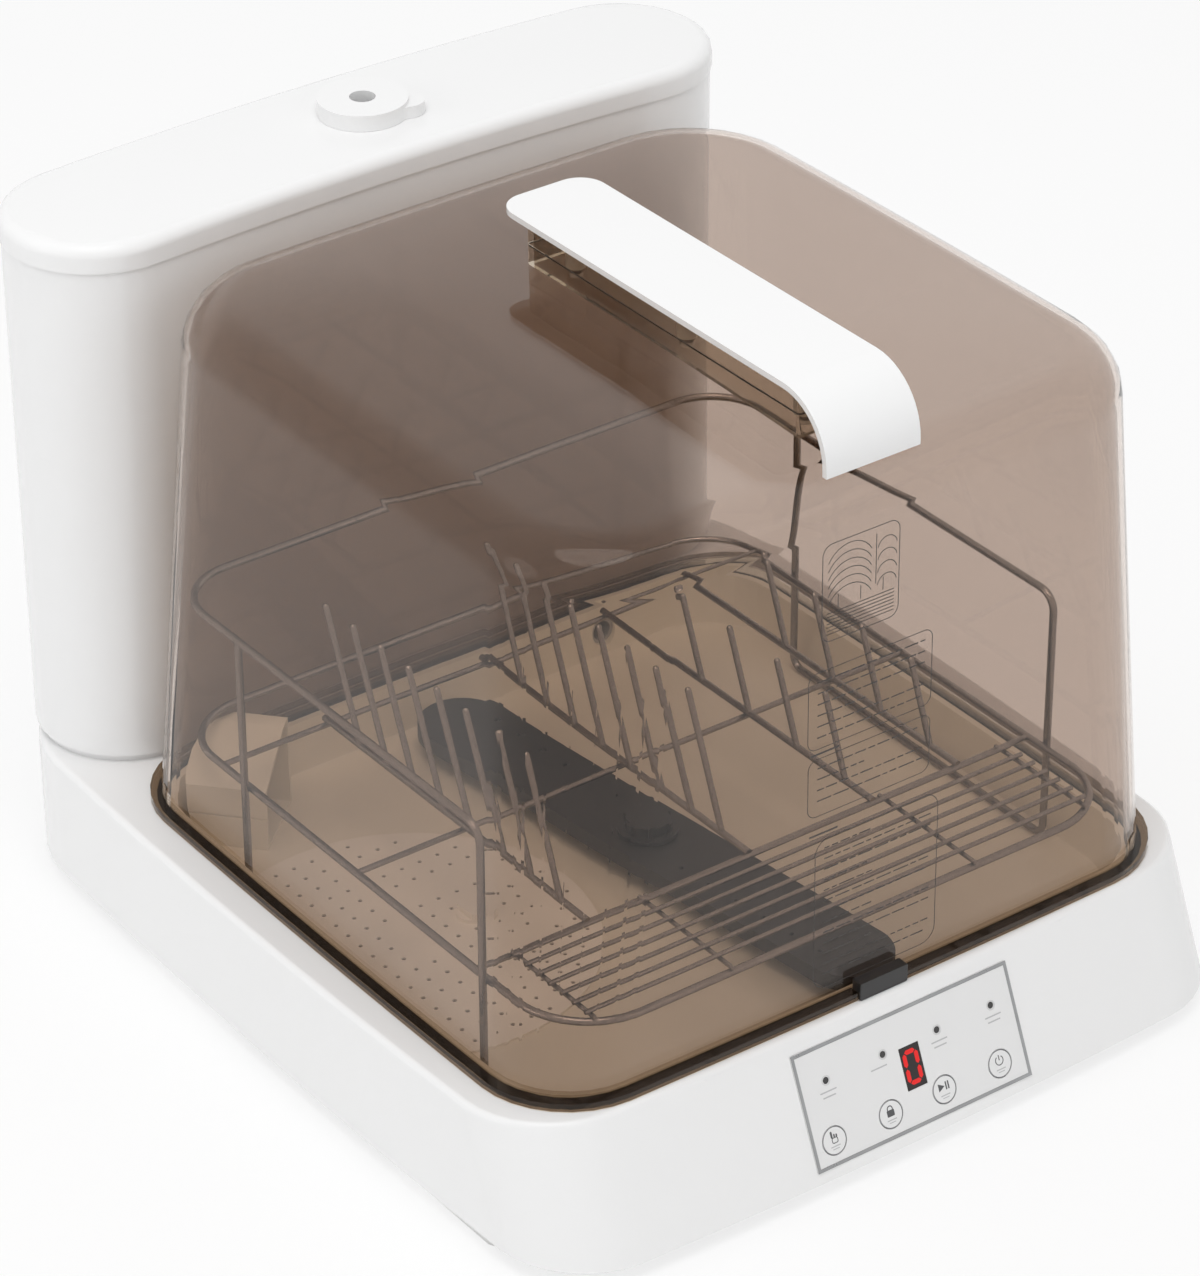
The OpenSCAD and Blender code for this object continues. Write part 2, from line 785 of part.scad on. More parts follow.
module filter_plate() {
    pitch = 10;
    hole = 1.1;
    rows = floor((filter_r - 8) / pitch);
    color("silver")
    difference() {
        translate([0, 0, floor_z + fit])
            linear_extrude(filter_t)
                intersection() {
                    translate([filter_x, filter_y])
                        circle(r = filter_r, $fn = 96);
                    translate([filter_left, filter_y - filter_r])
                        square([2 * filter_r, 2 * filter_r]);
                }
        // Cut away beside the drying outlet
        translate([air_pos.x, air_pos.y, floor_z])
            rotate([0, 0, air_turn])
                cube([air_long + 2, air_deep + 2, 4 * filter_t], center = true);
        for (j = [-rows:rows])
            for (i = [0:floor(2 * filter_r / pitch)]) {
                x = filter_left + 8 + pitch * i;
                y = filter_y + j * pitch;
                far = norm([x - filter_x, y - filter_y]);
                near = norm([x - sump_x, y - sump_y]);
                if (far < filter_r - 6 && (near < basket_r - 5 || near > basket_r + 5) && near > 9)
                    translate([x, y, floor_z - cut])
                        cylinder(h = filter_t + 2 * cut, r = hole, $fn = 16);
            }
    }
}

module filter_basket() {
    depth = under_z - sump_z - 10;
    color("silver")
    translate([sump_x, sump_y, floor_z + fit - depth])
        difference() {
            cylinder(h = depth, r = basket_r);
            translate([0, 0, 1.2])
                cylinder(h = depth, r = basket_r - 1.2);
            for (a = [0:30:330])
                rotate([0, 0, a])
                    translate([basket_r * 0.6, 0, -cut])
                        cylinder(h = 3, r = 3, $fn = 16);
        }
}

module filter_knob() {
    knob_r = 7;
    grip = 4;
    color("dimgray")
    translate([sump_x, sump_y, floor_z + fit + filter_t])
        difference() {
            cylinder(h = 5, r = knob_r);
            for (sx = [-1, 1])
                translate([sx * (grip / 2 + knob_r / 2 + 0.5) - knob_r / 2 + 1.5, -knob_r - cut, 2])
                    cube([grip, 2 * (knob_r + cut), 4]);
        }
}

// -------- drying air

outlet_lo = fan_z + 2;
outlet_hi = fan_z + fan_t - 2;

// Corner cover inside the tub, with a sloping front and an air slot at its side
module drying_outlet() {
    long = air_long;
    deep = air_deep;
    knee = 8;
    crown = 23;
    groove_up = 16.5;
    color("antiquewhite")
    intersection() {
        difference() {
            translate([air_pos.x, air_pos.y, floor_z])
                rotate([0, 0, air_turn])
                    difference() {
                        rotate([90, 0, 90])
                            translate([0, 0, -long / 2])
                                linear_extrude(long)
                                    polygon([[-deep / 2, 0], [deep / 2, 0],
                                             [deep / 2, tub_depth + crown],
                                             [deep / 2 - 8, tub_depth + crown],
                                             [-deep / 2, tub_depth + knee]]);
                        rotate([90, 0, 90])
                            translate([0, 0, -long / 2 + 2])
                                linear_extrude(long)
                                    polygon([[-deep / 2 + 2, 2], [deep / 2 - 2, 2],
                                             [deep / 2 - 2, tub_depth + crown - 2],
                                             [deep / 2 - 8, tub_depth + crown - 2],
                                             [-deep / 2 + 2, tub_depth + knee - 1]]);
                    }
            translate([slot_x - slot_w / 2, tub_rear - 30, outlet_lo])
                cube([slot_w, 40, outlet_hi - outlet_lo]);
            // groove between the block and its sloping front
            translate([air_pos.x, air_pos.y, floor_z + groove_up])
                rotate([0, 0, air_turn])
                    translate([-air_long, -air_deep / 2 - cut, 0])
                        cube([2 * air_long, cut + 0.8, 1.2]);
        }
        loft([at_z(tub_plan(floor_in - 7, tub_corner - 3), floor_z + fit),
              at_z(tub_plan(floor_in - 2, tub_corner - 1), floor_z + 5),
              at_z(tub_plan(-8, tub_corner), deck_z - 5),
              at_z(tub_plan(-8, tub_corner), deck_z + 60)]);
    }
}

// Scroll casing of the drying fan, with its outlet towards the tub
module fan_housing() {
    shell = 1.6;
    reach = fan_y - tub_rear - tub_wall - 1;
    color("gray")
    difference() {
        union() {
            translate([fan_x, fan_y, fan_z])
                cylinder(h = fan_t, r = fan_r);
            translate([fan_x - fan_r, fan_y - reach, fan_z])
                cube([duct_w, reach, fan_t]);
        }
        translate([fan_x, fan_y, fan_z + shell])
            cylinder(h = fan_t - 2 * shell, r = fan_r - shell);
        translate([fan_x - fan_r + shell, fan_y - reach - cut, fan_z + shell])
            cube([duct_w - 2 * shell, reach + cut, fan_t - 2 * shell]);
        translate([fan_x, fan_y, fan_z + shell])
            cylinder(h = fan_t, r = fan_r * 0.55);
        translate([fan_x, fan_y, fan_z - cut])
            cylinder(h = 2 * cut + shell, r = 4);
    }
}

fan_shaft = 2;
fan_motor_r = 15;
fan_motor_z = cover_z + 1;

module fan_motor() {
    h = fan_z - fan_motor_z;
    color("darkgray")
    translate([fan_x, fan_y, fan_motor_z])
        difference() {
            union() {
                cylinder(h = h, r = fan_motor_r);
                translate([-fan_motor_r - 6, -5, h - 3])
                    cube([2 * fan_motor_r + 12, 10, 3]);
            }
            translate([0, 0, h - 14])
                cylinder(h = 14 + cut, r = fan_shaft + run);
        }
}

module fan_rotor() {
    wheel = fan_r - 6;
    blades = 18;
    bottom = fan_z + 3;
    top = fan_z + fan_t - 3.5;
    color("black")
    translate([fan_x, fan_y, 0]) {
        translate([0, 0, fan_z - 13.5])
            cylinder(h = top - fan_z + 13.5 - 4, r = fan_shaft);
        translate([0, 0, bottom])
            cylinder(h = 1.5, r = wheel);
        translate([0, 0, bottom])
            cylinder(h = 8, r = 6);
        for (k = [0:blades - 1])
            rotate([0, 0, 360 * k / blades])
                translate([wheel - 8, -0.6, bottom])
                    cube([7.5, 1.2, top - bottom]);
    }
}

// Finned air heater in the fan's outlet
module air_heater() {
    fins = 6;
    len = 15;
    w = duct_w - 2 * 1.6 - 1;
    h = fan_t - 2 * 1.6 - 1;
    y0 = tub_rear + tub_wall + 8;
    color("silver")
    translate([fan_x - fan_r + duct_w / 2, y0, fan_z + fan_t / 2]) {
        translate([-w / 2, 0, -1.5])
            cube([w, len, 3]);
        for (k = [0:fins - 1])
            translate([-w / 2 + 1 + k * (w - 3) / (fins - 1), 0, -h / 2])
                cube([1, len, h]);
    }
}

// -------- pumps

// Pump casing along its own +Z axis: inlet below, motor above, outlet at +X running to -Y
module pump_case(r, len, out_len) {
    shell = 2;
    difference() {
        union() {
            cylinder(h = len, r = r);
            translate([0, 0, -stub_len])
                cylinder(h = stub_len + cut, r = stub_r);
            translate([r - stub_r, 0, len / 2])
                rotate([90, 0, 0])
                    cylinder(h = out_len, r = stub_r);
        }
        translate([0, 0, shell])
            cylinder(h = len, r = r - shell);
        translate([0, 0, -stub_len - cut])
            cylinder(h = stub_len + shell + 2 * cut, r = stub_r - hose_wall);
        translate([r - stub_r - 0.4, 0, len / 2])
            rotate([90, 0, 0])
                cylinder(h = out_len + cut, r = stub_r - hose_wall);
    }
}

module motor_can(case_r, r, len, shaft, rotor_r) {
    front = 3;
    difference() {
        union() {
            cylinder(h = front, r = case_r);
            cylinder(h = len, r = r);
        }
        translate([0, 0, -cut])
            cylinder(h = len - 3 + cut, r = shaft + run);
        translate([0, 0, front + 3])
            cylinder(h = len - front - 12, r = rotor_r + 1);
    }
}

module pump_rotor(len, wheel, shaft, motor, rotor_r) {
    vanes = 6;
    disc_z = len - 6;
    translate([0, 0, 4.5])
        cylinder(h = len - 4.5 + motor - 5, r = shaft);
    translate([0, 0, disc_z])
        cylinder(h = 2.5, r = wheel);
    for (k = [0:vanes - 1])
        rotate([0, 0, 360 * k / vanes])
            translate([1, -0.9, 6])
                cube([wheel - 1.5, 1.8, disc_z - 5]);
    translate([0, 0, len + 8])
        cylinder(h = motor - 20, r = rotor_r);
}

// The wash pump lies along +X in the rear bay
module at_wash_pump() {
    translate([pump_x - pump_len / 2, pump_y, pump_z])
        rotate([0, 90, 0])
            children();
}

module wash_pump_housing() {
    color("dimgray")
    at_wash_pump()
        pump_case(pump_r, pump_len, pump_r + stub_len);
}

module wash_pump_motor() {
    color("silver")
    at_wash_pump()
        translate([0, 0, pump_len])
            motor_can(pump_r, motor_r, motor_len, shaft_r, motor_r - 5);
}

module wash_pump_rotor() {
    color("black")
    at_wash_pump()
        pump_rotor(pump_len, pump_r - 5, shaft_r, motor_len, motor_r - 5);
}

// The drain pump lies along -Y under the tub, in front of the sump
module at_drain_pump() {
    translate([sump_x, drain_y, drain_z])
        rotate([90, 0, 0])
            rotate([0, 0, -90])
                children();
}

module drain_pump_housing() {
    color("dimgray")
    at_drain_pump()
        pump_case(drain_r, drain_len, drain_r + stub_len);
}

module drain_pump_motor() {
    color("silver")
    at_drain_pump()
        translate([0, 0, drain_len])
            motor_can(drain_r, drain_motor_r, drain_motor_len, drain_shaft, drain_motor_r - 4);
}

module drain_pump_rotor() {
    color("black")
    at_drain_pump()
        pump_rotor(drain_len, drain_r - 4, drain_shaft, drain_motor_len, drain_motor_r - 4);
}

// -------- water lines

// Round bar along a path, its inner corners as balls
module pipe(path, r) {
    for (k = [0:len(path) - 2])
        rod(path[k], path[k + 1], 2 * r);
    if (len(path) > 2)
        for (k = [1:len(path) - 2])
            translate(path[k])
                sphere(r = r, $fn = 24);
}

function toward(a, b, far) = a + (b - a) / norm(b - a) * far;

module hose(path) {
    n = len(path) - 1;
    through = [for (k = [0:n])
        k == 0 ? toward(path[0], path[1], -cut) : k == n ? toward(path[n], path[n - 1], -cut) : path[k]];
    difference() {
        pipe(path, hose_r);
        pipe(through, hose_r - hose_wall);
    }
}

// Flow-through heater between the wash pump and the hub
module water_heater() {
    rear = pump_y - pump_r - 2 * stub_len - 6;
    color("silver")
    difference() {
        union() {
            along_y(0, rear - heater_len, heater_z)
                cylinder(h = heater_len, r = heater_r);
            along_y(0, rear - heater_len - stub_len, feed_z)
                cylinder(h = heater_len + 2 * stub_len, r = stub_r);
            for (dy = [14, heater_len - 14])
                translate([0, rear - dy, heater_z + heater_r - 2])
                    cylinder(h = 6, r = 2);
        }
        along_y(0, rear - heater_len - stub_len - cut, feed_z)
            cylinder(h = heater_len + 2 * stub_len + 2 * cut, r = stub_r - hose_wall);
    }
}

module wash_hose() {
    rear = pump_y - pump_r - 2 * stub_len - 6;
    color("lightgray") {
        hose([[pump_x, pump_y - pump_r - 2, feed_z], [0, rear + 2, feed_z]]);
        hose([[0, rear - heater_len - 2, feed_z], [0, arm_y + post_r + 6, feed_z]]);
    }
}

module suction_hose() {
    color("lightgray")
    hose([[sump_x, sump_y + sump_r + 2, suction_z], [sump_x, pump_y, suction_z], [sump_x, pump_y, pump_z],
          [pump_x - pump_len / 2 - 2, pump_y, pump_z]]);
}

module drain_hose() {
    out_y = drain_y - drain_len / 2;
    climb_y = rear_in - 110;
    color("lightgray") {
        hose([[sump_x, sump_y - sump_r - 2, drain_z], [sump_x, drain_y + 2, drain_z]]);
        hose([[sump_x - drain_r - 2, out_y, feed_z], [drain_line, out_y, feed_z],
              [drain_line, climb_y, feed_z], [drain_line, climb_y + 30, drain_out_z],
              [drain_line, rear_in - 11, drain_out_z]]);
    }
}

// Flanged outlet in the rear wall, for the drain hose of the sink
module drain_spigot() {
    flange_y = rear_in - 9;
    from = flange_y - stub_len;
    color("dimgray")
    along_y(drain_line, from, drain_out_z)
        difference() {
            union() {
                cylinder(h = rear_y - 0.5 - from, r = stub_r);
                translate([0, 0, stub_len])
                    cylinder(h = 2.5, r = hose_r + 2);
            }
            translate([0, 0, -cut])
                cylinder(h = rear_y - from + 2 * cut, r = stub_r - hose_wall);
        }
}

module inlet_valve() {
    top = valve_z + valve_size.z;
    y = mid_y(valve_x);
    color("whitesmoke")
    difference() {
        union() {
            translate([valve_x - valve_size.x / 2, y - valve_size.y / 2, valve_z])
                cube(valve_size);
            along_y(valve_x, y - valve_size.y / 2 - stub_len, fill_z)
                cylinder(h = stub_len + cut, r = stub_r);
            translate([valve_x, y, valve_z - 14])
                cylinder(h = 14 + cut, r = 10);
        }
        translate([valve_x, y, top - 8])
            cylinder(h = 8 + cut, r = outlet_r + fit);
        translate([valve_x, y, top - 2])
            cylinder(h = 2 + cut, r = outlet_r + 2.6);
        translate([valve_x, y, fill_z])
            cylinder(h = 8 + cut, r = 3);
        along_y(valve_x, y - valve_size.y / 2 - stub_len - cut, fill_z)
            cylinder(h = valve_size.y / 2 + stub_len + cut, r = stub_r - hose_wall);
    }
}

module fill_hose() {
    color("lightgray")
    hose([[valve_x, mid_y(valve_x) - valve_size.y / 2 - 2, fill_z], [valve_x, tub_rear - 2, fill_z]]);
}

// Bush in the rear wall for the mains lead
module cord_gland() {
    color("black")
    along_y(gland_x, rear_in - 4, gland_z)
        difference() {
            union() {
                cylinder(h = rear_y - rear_in + 3.5, r = gland_r - fit);
                cylinder(h = 3.5, r = gland_r + 3);
            }
            translate([0, 0, -cut])
                cylinder(h = 40, r = gland_bore);
        }
}

// -------- electronics

module main_board() {
    z = cover_z + board_lift;
    color("darkgreen")
    difference() {
        union() {
            translate([board_x - board_w / 2, board_y - board_d / 2, z])
                cube([board_w, board_d, board_t]);
            // transformer, relays, capacitors and plug rows
            translate([board_x - 30, board_y - 25, z + board_t - bite])
                cube([22, 18, 16]);
            for (k = [0:2])
                translate([board_x - 6 + 12 * k, board_y - 22, z + board_t - bite])
                    cube([9, 14, 12]);
            for (k = [0:1])
                translate([board_x + 8 + 14 * k, board_y + 14, z + board_t - bite])
                    cylinder(h = 14, r = 5, $fn = 24);
            translate([board_x - 28, board_y + 12, z + board_t - bite])
                cube([26, 8, 7]);
        }
        for (p = board_spots)
            translate([p.x, p.y, z - cut])
                cylinder(h = board_t + 2 * cut, r = board_screw_r + fit);
    }
}

module panel_carrier() {
    back = base_wall + 1;
    color("whitesmoke")
    on_front()
        difference() {
            translate([0, 0, -back])
                round_plate(window_w - 2 * fit, window_h - 2 * fit, 3, back - panel_depth - fit / 2);
            for (x = key_x)
                translate([x, key_y, -back - cut])
                    cylinder(h = back + cut, r = key_r + slip);
            for (x = lamp_x)
                translate([x, lamp_y, -back - cut])
                    cylinder(h = back + cut, r = lamp_r + fit);
            translate([-display_size.x / 2 - fit, -display_size.y / 2 - fit, -back - cut])
                cube([display_size.x + 2 * fit, display_size.y + 2 * fit, back + cut]);
            for (p = panel_posts)
                translate([p.x, p.y, -back - cut])
                    cylinder(h = 2 + cut, r = 1.4, $fn = 24);
        }
}

// Printed film that covers the carrier; open over the keys, the lamps and the display
module panel_film() {
    color("whitesmoke")
    on_front()
        difference() {
            translate([0, 0, -panel_depth + fit / 2])
                round_plate(panel_w, panel_h, film_corner, panel_depth - fit);
            for (x = key_x)
                translate([x, key_y, -2])
                    cylinder(h = 4, r = key_r + slip);
            for (x = lamp_x)
                translate([x, lamp_y, -2])
                    cylinder(h = 4, r = lamp_r + fit);
            translate([-display_size.x / 2 - fit, -display_size.y / 2 - fit, -2])
                cube([display_size.x + 2 * fit, display_size.y + 2 * fit, 4]);
        }
}

module display_board() {
    board = 1.6;
    back = base_wall + 1;
    color("darkgreen")
    on_front() {
        translate([0, 0, -board_depth - board])
            round_plate(window_w - 4, window_h - 4, 2, board);
        for (x = key_x)
            translate([x, key_y, -board_depth - bite])
                cylinder(h = switch_h + bite, r = 2.5, $fn = 24);
        for (p = panel_posts)
            translate([p.x, p.y, -board_depth - bite])
                cylinder(h = board_depth - back + bite + 1, r = 1.3, $fn = 24);
    }
}

module display_module() {
    color([0.1, 0.02, 0.02])
    on_front()
        translate([-display_size.x / 2, -display_size.y / 2, -board_depth])
            cube([display_size.x, display_size.y, board_depth - 0.2]);
}

module mode_lamps() {
    color("darkred")
    on_front()
        for (x = lamp_x)
            translate([x, lamp_y, -board_depth])
                cylinder(h = board_depth - 0.2, r = lamp_r, $fn = 24);
}

// Round push key: its cap fills the hole in the film, its flange keeps it behind the carrier
module key(x) {
    back = base_wall + 1;
    foot = board_depth - switch_h - key_travel - fit;
    color("white")
    on_front()
        translate([x, key_y, 0]) {
            translate([0, 0, -back - slip - 0.8])
                cylinder(h = back + slip + 0.8, r = key_r);
            translate([0, 0, -back - slip - 0.8])
                cylinder(h = 0.8, r = key_r + 1.2);
            translate([0, 0, -foot])
                cylinder(h = foot - back, r = 2);
        }
}

module select_key() { key(key_x[0]); }
module lock_key() { key(key_x[1]); }
module start_key() { key(key_x[2]); }
module power_key() { key(key_x[3]); }

// Reed switch under the deck, below the magnet of the latch tab
module hood_switch() {
    color("darkgray")
    translate([-9, hood_y - hood_d / 2 - 7, deck_z - base_wall - 9.5]) {
        cube([18, 5, 6]);
        translate([0, 3.8, 5])
            cube([18, 1.2, 4.4]);
    }
}

// -------- tank

module tank_body() {
    color("white")
    difference() {
        union() {
            translate([0, 0, seat_z])
                linear_extrude(tank_h)
                    polygon(tank_outline(0));
            translate([valve_x, mid_y(valve_x), seat_z - outlet_len])
                cylinder(h = outlet_len + cut, r = outlet_r);
        }
        difference() {
            translate([0, 0, seat_z + tank_wall])
                linear_extrude(tank_h)
                    polygon(tank_outline(tank_wall));
            for (p = tank_screw_spots)
                translate([p.x, p.y, seat_z])
                    cylinder(h = tank_wall + 7, r = 5);
        }
        translate([valve_x, mid_y(valve_x), seat_z - outlet_len - cut])
            cylinder(h = outlet_len + tank_wall + 2 * cut, r = outlet_r - 2);
        for (p = tank_screw_spots)
            translate([p.x, p.y, seat_z - cut])
                cylinder(h = cut + 6, r = screw_r + fit);
    }
}

module tank_seal() {
    top = valve_z + valve_size.z;
    color("black")
    translate([valve_x, mid_y(valve_x), top - 2])
        tube(1.9, outlet_r + 2.5, 2.4);
}

// Low-water sensor: a stem with a stop, and a float that rides up it
module float_stem() {
    z = seat_z + tank_wall;
    color("whitesmoke")
    translate([float_x, mid_y(float_x), z]) {
        cylinder(h = 3, r = 9);
        cylinder(h = stem_h, r = stem_r);
        translate([0, 0, stem_h])
            cylinder(h = 2, r = stem_r + 3);
    }
}

module tank_float() {
    color("orange")
    translate([float_x, mid_y(float_x), seat_z + tank_wall + 3 + fit])
        tube(float_h, 10, 10 - stem_r - slip);
}

lid_z = tank_top + fit;
lid_top_z = lid_z + lid_h;
lip_drop = 6;
collar_r = 14;

function lid_ring(inset, z) = at_z(tank_outline(inset - lid_over), z);

module tank_lid() {
    color("white")
    difference() {
        union() {
            loft(concat(
                [lid_ring(0, lid_z)],
                [for (k = [0:4])
                    let (a = 22.5 * k)
                    lid_ring(lid_edge * (1 - cos(a)), lid_top_z - lid_edge + lid_edge * sin(a))]));
            translate([0, 0, lid_z - lip_drop])
                linear_extrude(lip_drop + cut)
                    polygon(tank_outline(tank_wall + slip + 1.2));
        }
        translate([0, 0, lid_z - lip_drop - cut])
            linear_extrude(lid_h + lip_drop - 2.5)
                polygon(tank_outline(tank_wall + slip + 3));
        translate([cap_x, cap_y, lid_z])
            cylinder(h = lid_h + cut, r = collar_r);
    }
}

// Rubber band round the lid's locating lip
module lid_gasket() {
    color("dimgray")
    translate([0, 0, lid_z - 4.5])
        linear_extrude(3)
            difference() {
                polygon(tank_outline(tank_wall + slip));
                polygon(tank_outline(tank_wall + slip + 1.2));
            }
}

// Quarter-turn cap: a disc with a thumb lobe and a hole for a filling hose
module fill_cap() {
    lobe = 0.954 * cap_r;
    lobe_r = 0.4 * cap_r;
    neck_r = 5;
    neck_x = (pow(cap_r + neck_r, 2) - pow(lobe_r + neck_r, 2) + lobe * lobe) / (2 * lobe);
    neck_y = sqrt(pow(cap_r + neck_r, 2) - neck_x * neck_x);
    color("white")
    translate([cap_x, cap_y, 0])
        difference() {
            union() {
                translate([0, 0, lid_top_z + fit])
                    cylinder(h = cap_h, r = cap_r);
                translate([0, 0, lid_top_z + fit])
                    rotate([0, 0, -33])
                        linear_extrude(cap_h - 2) {
                            translate([lobe, 0])
                                circle(r = lobe_r);
                            difference() {
                                polygon([[0, 0], [neck_x, -neck_y], [lobe, 0], [neck_x, neck_y]]);
                                for (sy = [-1, 1])
                                    translate([neck_x, sy * neck_y])
                                        circle(r = neck_r);
                            }
                        }
                translate([0, 0, lid_top_z - 8])
                    cylinder(h = 8 + cut, r = collar_r - run);
            }
            translate([0, 0, lid_top_z - 8 - cut])
                cylinder(h = cap_h + 8 + 3 * cut, r = fill_r);
            translate([0, 0, lid_top_z - 8 - cut])
                cylinder(h = 7, r = collar_r - 3);
        }
}

// -------- hood

// Height of the hood's domed top at a distance from its middle line
function dome_z(y) = hood_top - hood_crown * pow((y - hood_y) / (hood_d / 2 - hood_edge), 2);

module hood_shell() {
    color([0.45, 0.38, 0.33, 0.5])
    difference() {
        union() {
            loft(hood_stack(0, flange_z, hood_top));
            translate([0, 0, flange_z])
                linear_extrude(flange_t)
                    polygon(flange_plan(0));
        }
        loft(hood_stack(hood_wall, flange_z - cut, hood_top - hood_wall));
        // notch for the latch tab, screw holes of the handle
        translate([-latch_w / 2 - fit, hood_front - flange_w - 2 * cut, flange_z - cut])
            cube([latch_w + 2 * fit, flange_w + 2 * cut - fit, flange_t + 2 * cut]);
        for (y = handle_spots)
            translate([0, y, hood_top - hood_crown - 2 * hood_wall])
                cylinder(h = 3 * hood_wall + hood_crown, r = 2);
    }
}

// Clear frame that carries the handle strip on the hood's top
module handle_riser() {
    foot = hood_top - hood_crown - cut;
    color([0.4, 0.32, 0.27, 0.6])
    difference() {
        translate([0, riser_mid, foot])
            round_plate(riser_w, riser_len, 2, handle_top - handle_t - foot);
        translate([0, riser_mid, foot - cut])
            round_plate(riser_w - 5, riser_len - 5, 1, handle_top - foot);
        // its foot follows the dome, and a groove runs round it
        loft(hood_stack(0, hood_top - 2 * hood_edge, hood_top + fit / 2));
        translate([0, riser_mid, hood_top + groove_h])
            difference() {
                round_plate(riser_w + cut, riser_len + cut, 2, 0.8);
                translate([0, 0, -cut])
                    round_plate(riser_w - 1, riser_len - 1, 1.5, 3 * cut);
            }
    }
}

// Side profile of the strip: flat top, round bend, short drop at the front
function strip_profile() =
    let (n = 12, front = handle_front, top = handle_top, r = handle_bend, t = handle_t)
    concat(
        [[strip_rear, top - t], [strip_rear, top]],
        [for (k = [0:n]) let (a = 90 + 90 * k / n) [front + r + r * cos(a), top - r + r * sin(a)]],
        [[front, drop_z], [front + t, drop_z]],
        [for (k = [0:n]) let (a = 180 - 90 * k / n)
            [front + r + (r - t) * cos(a), top - r + (r - t) * sin(a)]]);

handle_screw_r = 1.6;
screw_reach = 14;

module handle_strip() {
    corner = 13;
    color("white")
    difference() {
        union() {
            intersection() {
                translate([-handle_w / 2, 0, 0])
                    rotate([90, 0, 90])
                        linear_extrude(handle_w)
                            polygon(strip_profile());
                translate([0, 0, hood_top - hood_edge])
                    linear_extrude(2 * handle_rise + hood_edge)
                        union() {
                            translate([-handle_w / 2, handle_front - cut])
                                square([handle_w, strip_rear - corner - handle_front + cut]);
                            translate([-handle_w / 2 + corner, handle_front])
                                square([handle_w - 2 * corner, strip_rear - handle_front]);
                            for (sx = [-1, 1])
                                translate([sx * (handle_w / 2 - corner), strip_rear - corner])
                                    circle(r = corner);
                        }
            }
            for (y = handle_spots)
                translate([0, y, dome_z(y) + fit])
                    cylinder(h = handle_top - handle_t + bite - dome_z(y) - fit, r = 4.5);
        }
        for (y = handle_spots)
            translate([0, y, dome_z(y) - cut])
                cylinder(h = screw_reach + 2 * cut, r = handle_screw_r + fit);
    }
}

module handle_screws() {
    color("silver")
    for (y = handle_spots)
        translate([0, y, dome_z(y) - hood_wall - slip])
            pan_screw(handle_screw_r, hood_wall + slip + screw_reach, 2 * handle_screw_r, 2);
}

// Dark tab over the front flange; it holds the magnet that tells the machine it is closed
module latch_tab() {
    color([0.12, 0.11, 0.11])
    translate([-latch_w / 2, hood_front - flange_w - 1.3, flange_z])
        cube([latch_w, flange_w + 1.3 - 2 * fit, latch_h]);
}

// -------- rack

function unit(v) = v / norm(v);
function turn_of(u, v) = acos(max(-1, min(1, u * v)));

// Round wire along a path whose corners are bent to a radius, or to a list of radii
module wire(path, d, radius, closed = false) {
    n = len(path);
    last = closed ? n - 1 : n - 2;
    function dir(k) = unit(path[(k + 1) % n] - path[k % n]);
    function bend_r(k) = is_list(radius) ? radius[k] : radius;
    function trim(k) =
        (!closed && (k == 0 || k == n - 1)) ? 0
        : bend_r(k) * tan(turn_of(dir((k + n - 1) % n), dir(k % n)) / 2);
    for (k = [0:last]) {
        a = path[k] + dir(k) * trim(k);
        b = path[(k + 1) % n] - dir(k) * trim((k + 1) % n);
        rod(a, b, d);
    }
    for (k = [closed ? 0 : 1:closed ? n - 1 : n - 2]) {
        u = dir((k + n - 1) % n);
        v = dir(k);
        side = unit(v - (u * v) * u);
        start = path[k] - u * trim(k);
        centre = start + side * bend_r(k);
        x = -side;
        z = cross(x, u);
        multmatrix([[x.x, u.x, z.x, centre.x], [x.y, u.y, z.y, centre.y], [x.z, u.z, z.z, centre.z]])
            rotate_extrude(angle = turn_of(u, v), $fn = 96)
                translate([bend_r(k), 0])
                    circle(d = d, $fn = 24);
    }
}

module rack_side_frames() {
    color("silver")
    for (sx = [-1, 1])
        wire([[sx * rack_x, post_front, rail - rail_bend], [sx * rack_x, post_front, runner],
              [sx * rack_x, post_back, runner], [sx * rack_x, post_back, rail - wire_d / 2 + weld]],
             wire_d, 6);
}

module rack_top_rail() {
    color("silver")
    difference() {
        wire([[-rack_x, post_front, rail - 2 * rail_bend], [-rack_x, post_front, rail],
              [-rack_x, rail_rear, rail], [rack_x, rail_rear, rail], [rack_x, post_front, rail],
              [rack_x, post_front, rail - 2 * rail_bend]],
             wire_d, [0, rail_bend, rail_corner, rail_corner, rail_bend, 0]);
        for (sx = [-1, 1])
            translate([sx * rack_x - wire_d, post_front - wire_d, rail - 3 * rail_bend])
                cube([2 * wire_d, 2 * wire_d, 2 * rail_bend]);
    }
}

ring_x = rack_x - wire_d + weld;

module rack_shelf_ring() {
    color("silver") {
        wire([[-ring_x, ring_front, ring], [ring_x, ring_front, ring], [ring_x, ring_rear, ring],
              [-ring_x, ring_rear, ring]], wire_d,
             [ring_corner, ring_corner, ring_back_corner, ring_back_corner], closed = true);
        for (y = cross_y)
            rod([-ring_x, y, ring], [ring_x, y, ring], cross_d);
    }
}

// A long wire with a row of leaning prongs
module prong_row(x, from, to, first, count, pitch, length) {
    z = ring + cross_d / 2 + (prong_d + 0.3) / 2 - weld;
    rod([x, from, z], [x, to, z], prong_d + 0.3);
    for (k = [0:count - 1])
        translate([x, first + pitch * k, z])
            rotate([-prong_lean, 0, 0])
                prong(length);
}

// Straight prong with a blunted tip
module prong(length) {
    r = prong_d / 2;
    rotate_extrude($fn = 24)
        polygon([[0, 0], [r, 0], [r, length], [0.6 * r, length + 0.6 * r], [0, length + 0.6 * r]]);
}

